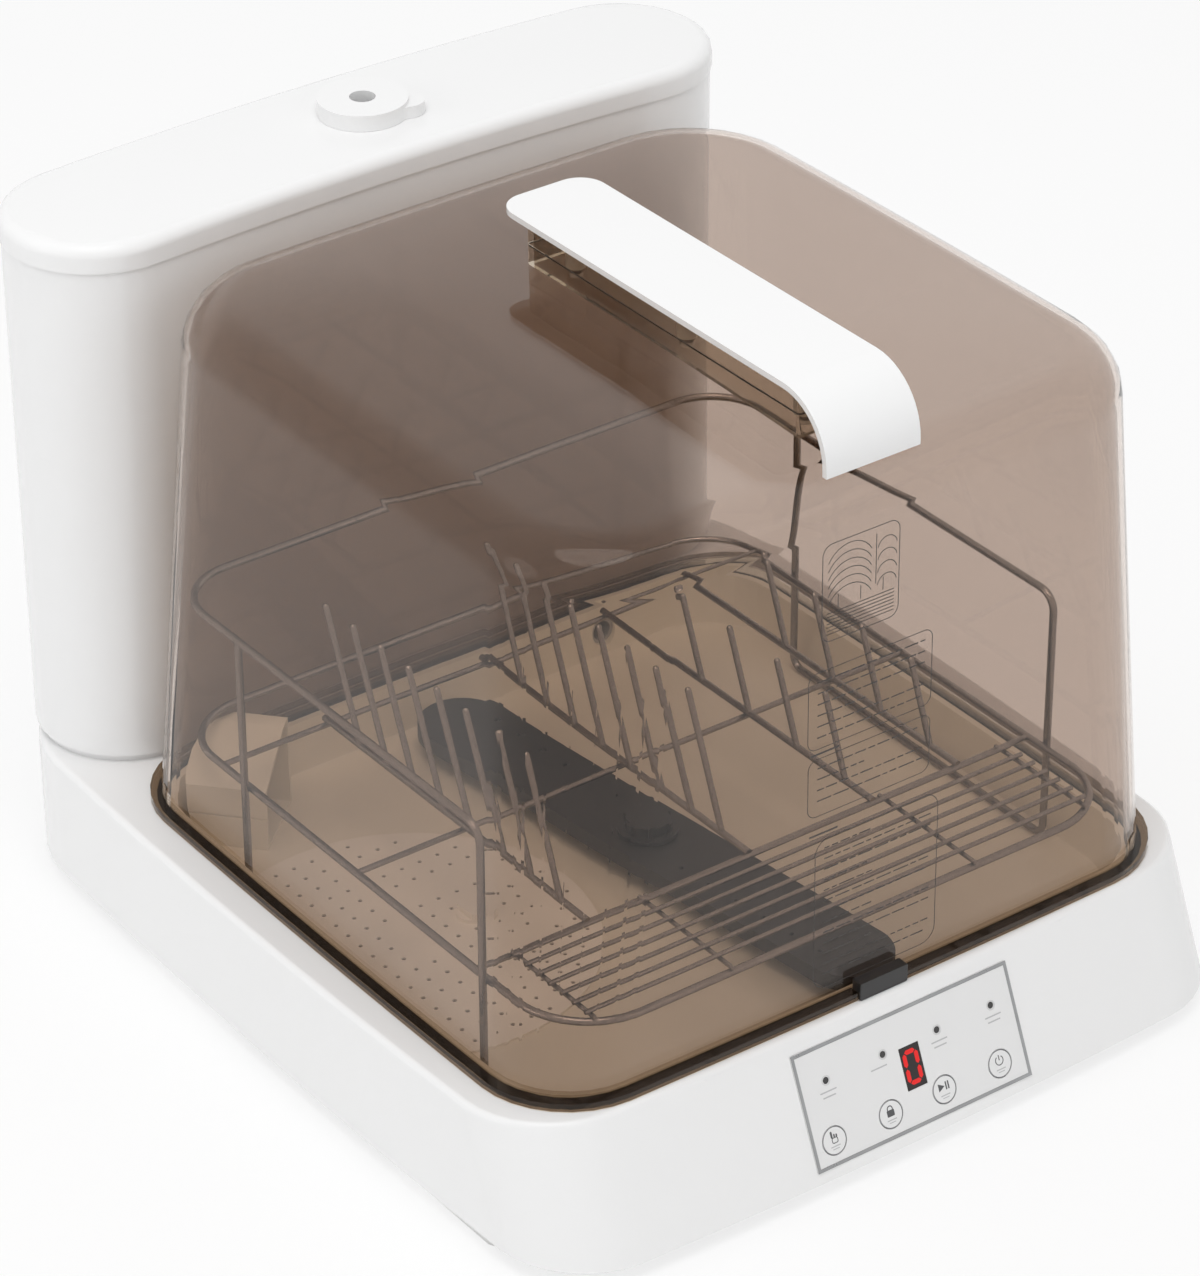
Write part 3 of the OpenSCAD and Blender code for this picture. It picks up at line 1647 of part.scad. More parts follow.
module rack_prongs() {
    color("silver") {
        for (x = plate_x)
            prong_row(x, cross_y[0] - 2, cross_y[2] + 2, prong_front, prongs, prong_pitch, prong_len);
        for (x = bowl_x)
            prong_row(x, cross_y[0] - 2, cross_y[2] + 2, prong_front, bowl_prongs, bowl_pitch,
                bowl_len);
    }
}

// Front of the ring at a distance from its middle
function ring_y(x) =
    let (across = max(abs(x) - ring_x + ring_corner, 0))
    ring_front - wire_d / 2 + ring_corner - sqrt(pow(ring_corner, 2) - across * across);

module rack_front_shelf() {
    z = ring + wire_d / 2 + thin_d / 2 - weld;
    from = ring_front - wire_d / 2;
    to = cross_y[0] - 2 * thin_d;
    pitch = (to - from - shelf_lead - shelf_tail) / (shelf_wires - 1);
    color("silver") {
        for (x = shelf_x)
            rod([x, ring_y(x), z], [x, to + 4, z], thin_d);
        for (k = [0:shelf_wires - 1])
            rod([shelf_x[0] - 3, from + shelf_lead + pitch * k, z + thin_d - weld / 2],
                [shelf_x[3] + 3, from + shelf_lead + pitch * k, z + thin_d - weld / 2], thin_d);
    }
}

base_housing();
bottom_cover();
feet();
case_screws();
tub();
rim_seal();
sump_cup();
hub_post();
drying_outlet();
fan_housing();
fan_motor();
fan_rotor();
air_heater();
wash_pump_housing();
wash_pump_motor();
wash_pump_rotor();
water_heater();
wash_hose();
suction_hose();
drain_pump_housing();
drain_pump_motor();
drain_pump_rotor();
drain_hose();
inlet_valve();
fill_hose();
cord_gland();
main_board();
panel_carrier();
panel_film();
display_board();
display_module();
mode_lamps();
select_key();
lock_key();
start_key();
power_key();
hood_switch();
tank_body();
tank_seal();
float_stem();
tank_float();
tank_lid();
lid_gasket();
fill_cap();
hood_shell();
handle_riser();
handle_strip();
handle_screws();
latch_tab();
rack_side_frames();
rack_top_rail();
rack_shelf_ring();
rack_prongs();
rack_front_shelf();
drain_spigot();
spray_arm();
arm_nut();
filter_plate();
filter_basket();
filter_knob();
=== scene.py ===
from random import Random
from math import atan, cos, pi, radians, sin

import bpy
import bmesh
from mathutils import Matrix, Vector
from mathutils.bvhtree import BVHTree


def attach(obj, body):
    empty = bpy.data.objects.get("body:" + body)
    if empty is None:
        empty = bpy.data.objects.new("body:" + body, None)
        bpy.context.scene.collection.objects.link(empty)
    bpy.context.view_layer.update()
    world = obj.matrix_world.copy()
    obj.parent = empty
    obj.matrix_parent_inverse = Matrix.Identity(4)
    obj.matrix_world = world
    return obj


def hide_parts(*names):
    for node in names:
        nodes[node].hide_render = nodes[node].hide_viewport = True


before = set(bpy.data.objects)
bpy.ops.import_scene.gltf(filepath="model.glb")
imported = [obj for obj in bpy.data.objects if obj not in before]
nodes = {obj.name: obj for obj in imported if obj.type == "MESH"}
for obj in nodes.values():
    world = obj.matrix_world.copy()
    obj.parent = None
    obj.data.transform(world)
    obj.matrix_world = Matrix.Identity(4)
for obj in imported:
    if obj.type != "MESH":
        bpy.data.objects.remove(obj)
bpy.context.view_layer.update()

# ---- Camera
# A long lens from the front left and above, which looks down on the deck and the hood's top.
# It stands about 2.4 m away and is held almost level.
CAMERA_PLACE = (-1.1594, -1.58175, 1.3591)
CAMERA_TURN, CAMERA_TILT, CAMERA_ROLL = radians(-36.19), radians(31.633), radians(-0.279)
LENS_MM, SENSOR_MM = 141.59, 36
NEAREST, FURTHEST = 0.05, 50

back = Vector((sin(CAMERA_TURN) * cos(CAMERA_TILT), -cos(CAMERA_TURN) * cos(CAMERA_TILT),
               sin(CAMERA_TILT)))
level = Vector((cos(CAMERA_TURN), sin(CAMERA_TURN), 0))
upright = back.cross(level)
right = level * cos(CAMERA_ROLL) + upright * sin(CAMERA_ROLL)
upward = upright * cos(CAMERA_ROLL) - level * sin(CAMERA_ROLL)
camera_data = bpy.data.cameras.new("camera")
camera_data.lens = LENS_MM
camera_data.sensor_width = SENSOR_MM
camera_data.clip_start, camera_data.clip_end = NEAREST, FURTHEST
camera = bpy.data.objects.new("camera", camera_data)
camera.matrix_world = Matrix.Translation(CAMERA_PLACE) @ Matrix(
    (right, upward, back)).transposed().to_4x4()
bpy.context.scene.collection.objects.link(camera)
bpy.context.scene.camera = camera
bpy.context.scene.view_settings.view_transform = "Standard"

# ---- White mouldings: base housing, tank, tank lid, fill cap
# Injection-moulded glossy white plastic with rounded edges. The surface is almost even, with the
# faintest waviness of a moulding and a fine grain.


def moulding_group():
    """Colour, roughness and relief of a moulded surface."""
    group = bpy.data.node_groups.new("moulding", "ShaderNodeTree")
    sockets = group.interface
    for name, kind, start in (("Color", "NodeSocketColor", (0.8, 0.8, 0.8, 1)),
                              ("Spread", "NodeSocketFloat", 0.02),
                              ("Roughness", "NodeSocketFloat", 0.3),
                              ("Roughness spread", "NodeSocketFloat", 0.05),
                              ("Wave scale", "NodeSocketFloat", 9.0),
                              ("Grain scale", "NodeSocketFloat", 900.0),
                              ("Grain", "NodeSocketFloat", 0.1)):
        sockets.new_socket(name, in_out="INPUT", socket_type=kind).default_value = start
    for name, kind in (("Color", "NodeSocketColor"), ("Roughness", "NodeSocketFloat"),
                       ("Height", "NodeSocketFloat")):
        sockets.new_socket(name, in_out="OUTPUT", socket_type=kind)
    n, wire = group.nodes, group.links.new
    given, put = n.new("NodeGroupInput"), n.new("NodeGroupOutput")
    place = n.new("ShaderNodeTexCoord")
    wave, grain = n.new("ShaderNodeTexNoise"), n.new("ShaderNodeTexNoise")
    for noise, scale, detail in ((wave, "Wave scale", 3), (grain, "Grain scale", 2)):
        noise.inputs["Detail"].default_value = detail
        wire(place.outputs["Object"], noise.inputs["Vector"])
        wire(given.outputs[scale], noise.inputs["Scale"])

    def sums(operation, a, b, c=None):
        node = n.new("ShaderNodeMath")
        node.operation = operation
        for socket, value in zip(node.inputs, (a, b, c)):
            if isinstance(value, (int, float)):
                socket.default_value = value
            elif value is not None:
                wire(value, socket)
        return node.outputs[0]

    centred = sums("SUBTRACT", wave.outputs["Fac"], 0.5)
    shade = sums("MULTIPLY_ADD", centred, given.outputs["Spread"], 1)
    tint = n.new("ShaderNodeVectorMath")
    tint.operation = "SCALE"
    wire(given.outputs["Color"], tint.inputs[0])
    wire(shade, tint.inputs["Scale"])
    wire(tint.outputs[0], put.inputs["Color"])
    fine = sums("SUBTRACT", grain.outputs["Fac"], 0.5)
    both = sums("ADD", centred, fine)
    wire(sums("MULTIPLY_ADD", both, given.outputs["Roughness spread"], given.outputs["Roughness"]),
         put.inputs["Roughness"])
    wire(sums("MULTIPLY", grain.outputs["Fac"], given.outputs["Grain"]), put.inputs["Height"])
    return group


MOULDING = moulding_group()


def moulded(name, colour, roughness, spread=0.02, rough_spread=0.05, wave=9.0, grain_scale=900.0,
            grain=0.1, relief=0.00005, metal=0.0, coat=0.0, coat_roughness=0.1):
    """Opaque material whose colour, roughness and relief come from the moulding group."""
    material = bpy.data.materials.new(name)
    material.use_nodes = True
    material.diffuse_color = (*colour, 1)
    n, wire = material.node_tree.nodes, material.node_tree.links.new
    shader = n["Principled BSDF"]
    surface = n.new("ShaderNodeGroup")
    surface.node_tree = MOULDING
    surface.inputs["Color"].default_value = (*colour, 1)
    for socket, value in (("Spread", spread), ("Roughness", roughness),
                          ("Roughness spread", rough_spread), ("Wave scale", wave),
                          ("Grain scale", grain_scale), ("Grain", grain)):
        surface.inputs[socket].default_value = value
    bump = n.new("ShaderNodeBump")
    bump.inputs["Distance"].default_value = relief
    wire(surface.outputs["Height"], bump.inputs["Height"])
    wire(surface.outputs["Color"], shader.inputs["Base Color"])
    wire(surface.outputs["Roughness"], shader.inputs["Roughness"])
    wire(bump.outputs["Normal"], shader.inputs["Normal"])
    shader.inputs["Metallic"].default_value = metal
    shader.inputs["Coat Weight"].default_value = coat
    shader.inputs["Coat Roughness"].default_value = coat_roughness
    return material


WELD_REACH = 0.00001
BEVEL_SEGMENTS, BEVEL_ANGLE = 2, radians(40)


def dress(material, *pieces, smooth=32, bevel=0.0):
    """Gives CAD nodes, named, or other pieces a material and even shading across small facets.
    Faces that meet at more than smooth degrees keep a sharp edge, which bevel can round."""
    for piece in pieces:
        if isinstance(piece, str):
            piece = nodes[piece]
        piece.data.materials.clear()
        piece.data.materials.append(material)
        for face in piece.data.polygons:
            face.use_smooth = True
        weld = piece.modifiers.new("weld", "WELD")
        weld.merge_threshold = WELD_REACH
        if bevel:
            edge = piece.modifiers.new("edge", "BEVEL")
            edge.width = bevel
            edge.segments = BEVEL_SEGMENTS
            edge.angle_limit = BEVEL_ANGLE
        split = piece.modifiers.new("crease", "EDGE_SPLIT")
        split.split_angle = radians(smooth)
        even = piece.modifiers.new("even", "WEIGHTED_NORMAL")
        even.keep_sharp = True


def placed(name, mesh, material, body, place):
    """Turns a bmesh in a local frame into a piece that rides on a body."""
    made = bpy.data.meshes.new(name)
    mesh.to_mesh(made)
    mesh.free()
    made.transform(place)
    made.materials.append(material)
    piece = bpy.data.objects.new(name, made)
    bpy.context.scene.collection.objects.link(piece)
    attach(piece, body)
    return piece


gloss_white = moulded("gloss_white", (0.86, 0.86, 0.86), 0.24, coat=0.25, coat_roughness=0.12)
dress(gloss_white, "base_housing", "tank_body", "fill_cap")

SAME_SPOT, SAME_HEIGHT = 0.000002, 0.00002
LEVEL, LARGE_FACE = 0.9999, 0.0004


def level_faces_refilled(name):
    """Copy of a node whose level faces are filled anew from their outlines, however they bend."""
    mesh = bmesh.new()
    mesh.from_mesh(nodes[name].data)
    bmesh.ops.remove_doubles(mesh, verts=mesh.verts, dist=SAME_SPOT)
    heights = sorted({round(face.calc_center_median().z, 5) for face in mesh.faces
                      if abs(face.normal.z) > LEVEL and face.calc_area() > LARGE_FACE})
    for height in heights:
        level = [face for face in mesh.faces
                 if all(abs(corner.co.z - height) < SAME_HEIGHT for corner in face.verts)]
        rim = [edge for edge in {edge for face in level for edge in face.edges}
               if sum(face in level for face in edge.link_faces) == 1]
        bmesh.ops.delete(mesh, geom=level, context="FACES_ONLY")
        bmesh.ops.triangle_fill(mesh, use_beauty=True, use_dissolve=False, edges=rim)
    loose = [edge for edge in mesh.edges if not edge.link_faces]
    bmesh.ops.delete(mesh, geom=loose, context="EDGES")
    bmesh.ops.recalc_face_normals(mesh, faces=mesh.faces)
    return mesh


# The node's level faces hold folded triangles, so the lid's skin is the same shape filled anew.
lid_skin = placed("tank_lid_skin", level_faces_refilled("tank_lid"), gloss_white, "tank_lid",
                  Matrix.Identity(4))
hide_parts("tank_lid")
dress(gloss_white, lid_skin)

# ---- Bottom cover, feet and screws
# The cover is a plain grained plate screwed under the base. The four long feet are soft and pale
# and are pushed into it; the screws are zinc-plated pan heads.
cover_grey = moulded("cover_grey", (0.74, 0.74, 0.73), 0.5, grain=0.6, relief=0.0001)
foot_rubber = moulded("foot_rubber", (0.8, 0.8, 0.79), 0.62, spread=0.05)
zinc = moulded("zinc", (0.62, 0.62, 0.61), 0.33, metal=1.0, spread=0.15, wave=60.0)
dress(cover_grey, "bottom_cover")
dress(foot_rubber, "feet", bevel=0.001)
dress(zinc, "case_screws", "handle_screws")

# ---- Tub, drying outlet and rim seal
# The tub is a shallow warm-white moulding hung in the deck by its lip. A loose cover of the same
# plastic guides the drying air at its rear left corner. The hood stands on a black rubber seal.
tub_white = moulded("tub_white", (0.87, 0.81, 0.69), 0.3, spread=0.05, wave=6.0)
seal_black = moulded("seal_black", (0.035, 0.031, 0.028), 0.5, spread=0.2)
dress(tub_white, "tub", "drying_outlet")
dress(seal_black, "rim_seal", "tank_seal", "lid_gasket")

# ---- Filter
# A perforated stainless disc lies over the sump, with a basket under it and a small knob to lift
# it by. The sheet is brushed and slightly stained by water; dark discs in its holes are painted
# shade.
filter_steel = moulded("filter_steel", (0.96, 0.91, 0.83), 0.5, metal=0.0, spread=0.12, wave=25.0,
                       rough_spread=0.2)
# Painted shade: dark discs that stand for the shade inside the filter's holes.
painted_hole_shade = moulded("painted_hole_shade", (0.20, 0.17, 0.14), 0.6)
dress(filter_steel, "filter_plate", "filter_basket", "filter_knob")
HOLE_PITCH, HOLE_R, HOLE_CORNERS = 0.010, 0.00105, 12
FIRST_HOLE, FILTER_Y = -0.1462, -0.02325
HOLE_LOW, HOLE_HIGH = 0.0467, 0.0471
RIM_REACH, OVER_SHEET = 0.0017, 0.06
HOLE_STEPS, HOLE_ROWS = 18, range(-8, 9)


def surface_tree(name):
    """Lookup tree of a node's faces."""
    data = nodes[name].data
    return BVHTree.FromPolygons([corner.co for corner in data.vertices],
                                [tuple(face.vertices) for face in data.polygons])


def circle(x, y, radius, count=48, start=0.0, sweep=2 * pi):
    """Points of a circle, or of an arc with both its ends."""
    steps = count if sweep >= 2 * pi else count - 1
    turns = [start + sweep * k / steps for k in range(count)]
    return [(x + radius * cos(turn), y + radius * sin(turn)) for turn in turns]


def short_drum(mesh, x, y, radius, low, high, count):
    """Upright drum between two heights."""
    bottom, top = [[mesh.verts.new((px, py, z)) for px, py in circle(x, y, radius, count)]
                   for z in (low, high)]
    mesh.faces.new(top)
    mesh.faces.new(list(reversed(bottom)))
    for k in range(count):
        m = (k + 1) % count
        mesh.faces.new((bottom[k], bottom[m], top[m], top[k]))


sheet_tree = surface_tree("filter_plate")


def sheet_at(x, y):
    """Whether the perforated sheet has metal at a spot."""
    return sheet_tree.ray_cast(Vector((x, y, OVER_SHEET)), Vector((0, 0, -1)))[0] is not None


# A dark disc of painted shade sits at mid-height in each hole that the sheet rings round.
hole_shade_mesh = bmesh.new()
for row in HOLE_ROWS:
    for step in range(HOLE_STEPS):
        x, y = FIRST_HOLE + HOLE_PITCH * step, FILTER_Y + HOLE_PITCH * row
        if not sheet_at(x, y) and all(sheet_at(*spot) for spot in circle(x, y, RIM_REACH, 4)):
            short_drum(hole_shade_mesh, x, y, HOLE_R, HOLE_LOW, HOLE_HIGH, HOLE_CORNERS)
placed("filter_hole_painted_shade", hole_shade_mesh, painted_hole_shade, "filter", Matrix.Identity(4))

# ---- Spray arm
# A flat hollow paddle of dark grey plastic turns on the hub post. Its nut has six small lugs.
arm_grey = moulded("arm_grey", (0.035, 0.035, 0.038), 0.42, spread=0.15, grain=0.3)
dress(arm_grey, "spray_arm", "arm_nut", bevel=0.0008)
duct_grey = moulded("duct_grey", (0.14, 0.14, 0.145), 0.5, grain=0.5)
dress(duct_grey, "hub_post", "sump_cup", "fan_housing", "wash_pump_housing",
      "drain_pump_housing", "drain_spigot")

# ---- Machinery under the deck
# Motors and heaters are bright metal, the wheels black mouldings, the hoses pale rubber and the
# circuit boards coated green.
motor_steel = moulded("motor_steel", (0.6, 0.6, 0.6), 0.35, metal=1.0, spread=0.1, wave=30.0)
wheel_black = moulded("wheel_black", (0.03, 0.03, 0.032), 0.45)
hose_grey = moulded("hose_grey", (0.45, 0.45, 0.44), 0.6, spread=0.1)
board_green = moulded("board_green", (0.02, 0.16, 0.06), 0.4, spread=0.3, wave=120.0)
valve_white = moulded("valve_white", (0.74, 0.74, 0.72), 0.45)
float_orange = moulded("float_orange", (0.8, 0.3, 0.05), 0.5, spread=0.08)
bush_black = moulded("bush_black", (0.03, 0.03, 0.032), 0.5, grain=0.5)
dress(motor_steel, "fan_motor", "wash_pump_motor", "drain_pump_motor", "air_heater",
      "water_heater")
dress(wheel_black, "fan_rotor", "wash_pump_rotor", "drain_pump_rotor")
dress(hose_grey, "wash_hose", "suction_hose", "drain_hose", "fill_hose")
dress(board_green, "main_board", "display_board")
dress(valve_white, "inlet_valve", "float_stem")
dress(float_orange, "tank_float")
dress(bush_black, "cord_gland", "hood_switch")

# ---- Rack
# Drawn stainless wire, bent and spot-welded, then polished. It has a fine grain, and its tone
# wanders a little.
# The base colour is dark and brownish, well below bright steel: painted shade for the dark
# surroundings that the wire mirrors under the hood.
wire_steel = moulded("wire_steel", (0.30, 0.27, 0.25), 0.22, metal=1.0, spread=0.12, wave=45.0,
                     rough_spread=0.15, grain_scale=2500.0)
dress(wire_steel, "rack_side_frames", "rack_top_rail", "rack_shelf_ring", "rack_prongs",
      "rack_front_shelf")

# ---- Control panel
# A satin white film in a thin brushed metal frame lies in a shallow recess of the leaning front.
# Four round keys and four small dark lamps come up through it, and a window shows one red digit.
PANEL_LEAN = atan(26 / 60)
PANEL_W, PANEL_H = 0.122, 0.055
PANEL_X, PANEL_Y, PANEL_Z = 0.0043, -0.22325, 0.038
panel_place = Matrix(((1, 0, 0, PANEL_X), (0, sin(PANEL_LEAN), -cos(PANEL_LEAN), PANEL_Y),
                      (0, cos(PANEL_LEAN), sin(PANEL_LEAN), PANEL_Z), (0, 0, 0, 1)))
film_white = moulded("film_white", (0.80, 0.80, 0.80), 0.36, grain=0.2)
key_white = moulded("key_white", (0.80, 0.80, 0.80), 0.3, coat=0.2)
window_black = moulded("window_black", (0.012, 0.006, 0.006), 0.12)
lamp_dark = moulded("lamp_dark", (0.02, 0.018, 0.018), 0.2, coat=0.5)
dress(film_white, "panel_film", "panel_carrier")
dress(key_white, "select_key", "lock_key", "start_key", "power_key", bevel=0.0003)
dress(window_black, "display_module")
dress(lamp_dark, "mode_lamps")


def plate(name, outlines, material, body, place, low, high):
    """Thin flat piece between two heights over a local plane, from (outer, hole or None) outlines.
    A hole has as many points as the outline round it."""
    mesh = bmesh.new()
    for outer, hole in outlines:
        top, bottom = [], []
        for points in (outer, hole):
            if points is not None:
                top.append([mesh.verts.new((x, y, high)) for x, y in points])
                bottom.append([mesh.verts.new((x, y, low)) for x, y in points])
        if hole is None:
            mesh.faces.new(top[0])
            mesh.faces.new(list(reversed(bottom[0])))
        else:
            for k in range(len(outer)):
                m = (k + 1) % len(outer)
                mesh.faces.new((top[0][k], top[0][m], top[1][m], top[1][k]))
                mesh.faces.new((bottom[0][m], bottom[0][k], bottom[1][k], bottom[1][m]))
        for inward, (a, b) in enumerate(zip(top, bottom)):
            for k in range(len(a)):
                m = (k + 1) % len(a)
                side = (b[k], b[m], a[m], a[k])
                mesh.faces.new(side[::-1] if inward else side)
    return placed(name, mesh, material, body, place)


def rounded(x, y, width, height, radius, count=8):
    """Points of a rectangle with rounded corners, from its middle."""
    points = []
    for corner, (sx, sy) in enumerate(((1, 1), (-1, 1), (-1, -1), (1, -1))):
        points += circle(x + sx * (width / 2 - radius), y + sy * (height / 2 - radius), radius,
                         count, corner * pi / 2, pi / 2)
    return points


def arc_band(x, y, radius, half_width, start, sweep, count=24):
    """Outline of a bent bar that follows an arc."""
    return (circle(x, y, radius + half_width, count, start, sweep)
            + list(reversed(circle(x, y, radius - half_width, count, start, sweep))))


# The frame is a strip with a low ridge. Each step is one rectangle: how far it lies in from the
# panel's edge, and its height.
frame_metal = moulded("frame_metal", (0.33, 0.335, 0.34), 0.34, metal=0.75, spread=0.5, wave=55.0,
                      rough_spread=0.2)
FRAME_STEPS = ((0.0001, -0.00006), (0.0002, 0.00018), (0.0009, 0.00034), (0.0016, 0.00018),
               (0.0018, -0.00006))
frame_mesh = bmesh.new()
frame_rings = [[frame_mesh.verts.new((sx * (PANEL_W / 2 - inset), sy * (PANEL_H / 2 - inset), rise))
                for sx, sy in ((1, 1), (-1, 1), (-1, -1), (1, -1))] for inset, rise in FRAME_STEPS]
for outer_ring, inner_ring in zip(frame_rings, frame_rings[1:] + frame_rings[:1]):
    for k in range(4):
        m = (k + 1) % 4
        frame_mesh.faces.new((outer_ring[k], outer_ring[m], inner_ring[m], inner_ring[k]))
placed("panel_frame", frame_mesh, frame_metal, "base", panel_place)

icon_grey = moulded("icon_grey", (0.085, 0.085, 0.09), 0.5)
ring_grey = moulded("ring_grey", (0.20, 0.20, 0.21), 0.45)
rule_grey = moulded("rule_grey", (0.50, 0.50, 0.51), 0.5)
halo_grey = moulded("halo_grey", (0.66, 0.66, 0.66), 0.4)
INK_LOW, INK_HIGH = -0.00004, 0.00003

key_spots = [part * PANEL_W for part in (-0.401, -0.141, 0.109, 0.372)]
key_row = -0.292 * PANEL_H
key_bodies = ("select_key", "lock_key", "start_key", "power_key")
RING_OUT, RING_IN, RING_CORNERS = 0.0064, 0.0060, 64
for spot, body in zip(key_spots, key_bodies):
    plate(body + "_ring", [(circle(spot, key_row, RING_OUT, RING_CORNERS),
                            circle(spot, key_row, RING_IN, RING_CORNERS))],
          ring_grey, body, panel_place, INK_LOW, INK_HIGH)
    # Two short rules stand where a key's name would be.
    plate(body + "_rules", [(rounded(spot, key_row - 0.0026, 0.0052, 0.0005, 0.0002), None),
                            (rounded(spot, key_row - 0.0038, 0.0036, 0.0004, 0.00015), None)],
          rule_grey, body, panel_place, INK_LOW, INK_HIGH)

# Icons printed on the keys: a pointing hand, a closed lock, play with pause, and a power sign.
ICON_UP = key_row + 0.0015
x = key_spots[0]
plate("hand_icon", [(rounded(x + 0.0003, ICON_UP - 0.0014, 0.0034, 0.0028, 0.0009),
                     rounded(x + 0.0003, ICON_UP - 0.0014, 0.0026, 0.0020, 0.0006)),
                    (rounded(x - 0.0011, ICON_UP + 0.0014, 0.0010, 0.0032, 0.00045), None),
                    (rounded(x + 0.0003, ICON_UP + 0.0007, 0.0008, 0.0016, 0.00035), None),
                    (rounded(x + 0.0015, ICON_UP + 0.0005, 0.0008, 0.0014, 0.00035), None)],
      icon_grey, "select_key", panel_place, INK_LOW, INK_HIGH)
x = key_spots[1]
plate("lock_icon", [(rounded(x, ICON_UP - 0.0010, 0.0040, 0.0030, 0.0004), None),
                    (arc_band(x, ICON_UP + 0.0010, 0.00135, 0.00026, 0, pi), None),
                    (rounded(x - 0.00135, ICON_UP + 0.0007, 0.00052, 0.0008, 0.0001), None),
                    (rounded(x + 0.00135, ICON_UP + 0.0007, 0.00052, 0.0008, 0.0001), None)],
      icon_grey, "lock_key", panel_place, INK_LOW, INK_HIGH)
x = key_spots[2]
plate("play_icon", [([(x - 0.0030, ICON_UP - 0.0019), (x + 0.0004, ICON_UP),
                      (x - 0.0030, ICON_UP + 0.0019)], None),
                    (rounded(x + 0.0012, ICON_UP, 0.0007, 0.0038, 0.0002), None),
                    (rounded(x + 0.0025, ICON_UP, 0.0007, 0.0038, 0.0002), None)],
      icon_grey, "start_key", panel_place, INK_LOW, INK_HIGH)
x = key_spots[3]
plate("power_icon", [(arc_band(x, ICON_UP, 0.0021, 0.00024, radians(125), radians(290)), None),
                     (rounded(x, ICON_UP + 0.0013, 0.0005, 0.0026, 0.0002), None)],
      icon_grey, "power_key", panel_place, INK_LOW, INK_HIGH)

# A pale ring and two short rules belong to each lamp. The second lamp stands next to the window,
# so it has one rule, set to the left.
lamp_spots = [part * PANEL_W for part in (-0.376, -0.115, 0.137, 0.391)]
lamp_row = 0.199 * PANEL_H
FILM_INK_LOW = INK_LOW - 0.00002
HALO_OUT, HALO_IN = 0.0024, 0.0017
RULE_H, RULE_R, NEXT_TO_WINDOW = 0.0006, 0.0002, 2
for number, spot in enumerate(lamp_spots, 1):
    plate("lamp_%d_halo" % number,
          [(circle(spot, lamp_row, HALO_OUT), circle(spot, lamp_row, HALO_IN))],
          halo_grey, "base", panel_place, FILM_INK_LOW, INK_HIGH)
    shift = -0.0035 if number == NEXT_TO_WINDOW else 0.0
    rules = [(rounded(spot + shift, lamp_row - 0.0050, 0.0090, RULE_H, RULE_R), None)]
    if number != NEXT_TO_WINDOW:
        rules.append((rounded(spot, lamp_row - 0.0074, 0.0070, RULE_H, RULE_R), None))
    plate("lamp_%d_rules" % number, rules, rule_grey, "base", panel_place, FILM_INK_LOW, INK_HIGH)

# The digit: the six lit bars of a seven-bar figure, behind the dark window.
digit_red = bpy.data.materials.new("digit_red")
digit_red.use_nodes = True
digit_nodes = digit_red.node_tree.nodes
digit_glow = digit_nodes.new("ShaderNodeTexNoise")
digit_glow.inputs["Scale"].default_value = 400
digit_ramp = digit_nodes.new("ShaderNodeValToRGB")
digit_ramp.color_ramp.elements[0].color = (0.78, 0.006, 0.006, 1)
digit_ramp.color_ramp.elements[1].color = (0.92, 0.012, 0.01, 1)
digit_shader = digit_nodes["Principled BSDF"]
digit_red.node_tree.links.new(digit_glow.outputs["Fac"], digit_ramp.inputs["Fac"])
digit_red.node_tree.links.new(digit_ramp.outputs["Color"], digit_shader.inputs["Emission Color"])
digit_shader.inputs["Base Color"].default_value = (0.05, 0.002, 0.002, 1)
digit_shader.inputs["Roughness"].default_value = 0.6
digit_shader.inputs["Emission Strength"].default_value = 0.85
BAR, BAR_GAP, DIGIT_W, DIGIT_H = 0.0021, 0.00035, 0.0086, 0.0162
DIGIT_LOW, DIGIT_HIGH = -0.00021, -0.00012


def upright_bar(x, low, high):
    """A lit bar with pointed ends."""
    return [(x - BAR / 2, low + BAR / 2), (x, low), (x + BAR / 2, low + BAR / 2),
            (x + BAR / 2, high - BAR / 2), (x, high), (x - BAR / 2, high - BAR / 2)]


lit = []
side_x, end_y = (DIGIT_W - BAR) / 2, (DIGIT_H - BAR) / 2
for sx in (-1, 1):
    for low, high in ((-end_y + BAR_GAP, -BAR_GAP), (BAR_GAP, end_y - BAR_GAP)):
        lit.append((upright_bar(sx * side_x, low, high), None))
for sy in (-1, 1):
    lying = [(-y, x) for x, y in upright_bar(0, -side_x + BAR_GAP, side_x - BAR_GAP)]
    lit.append(([(x, y + sy * end_y) for x, y in lying], None))
plate("digit", lit, digit_red, "base", panel_place, DIGIT_LOW, DIGIT_HIGH)

# ---- Hood
# One clear smoke-brown moulding, 3 mm thick, with large polished roundings and a flange at its
# foot. A clear frame on its top carries the handle. It lets light through with a warm tint.


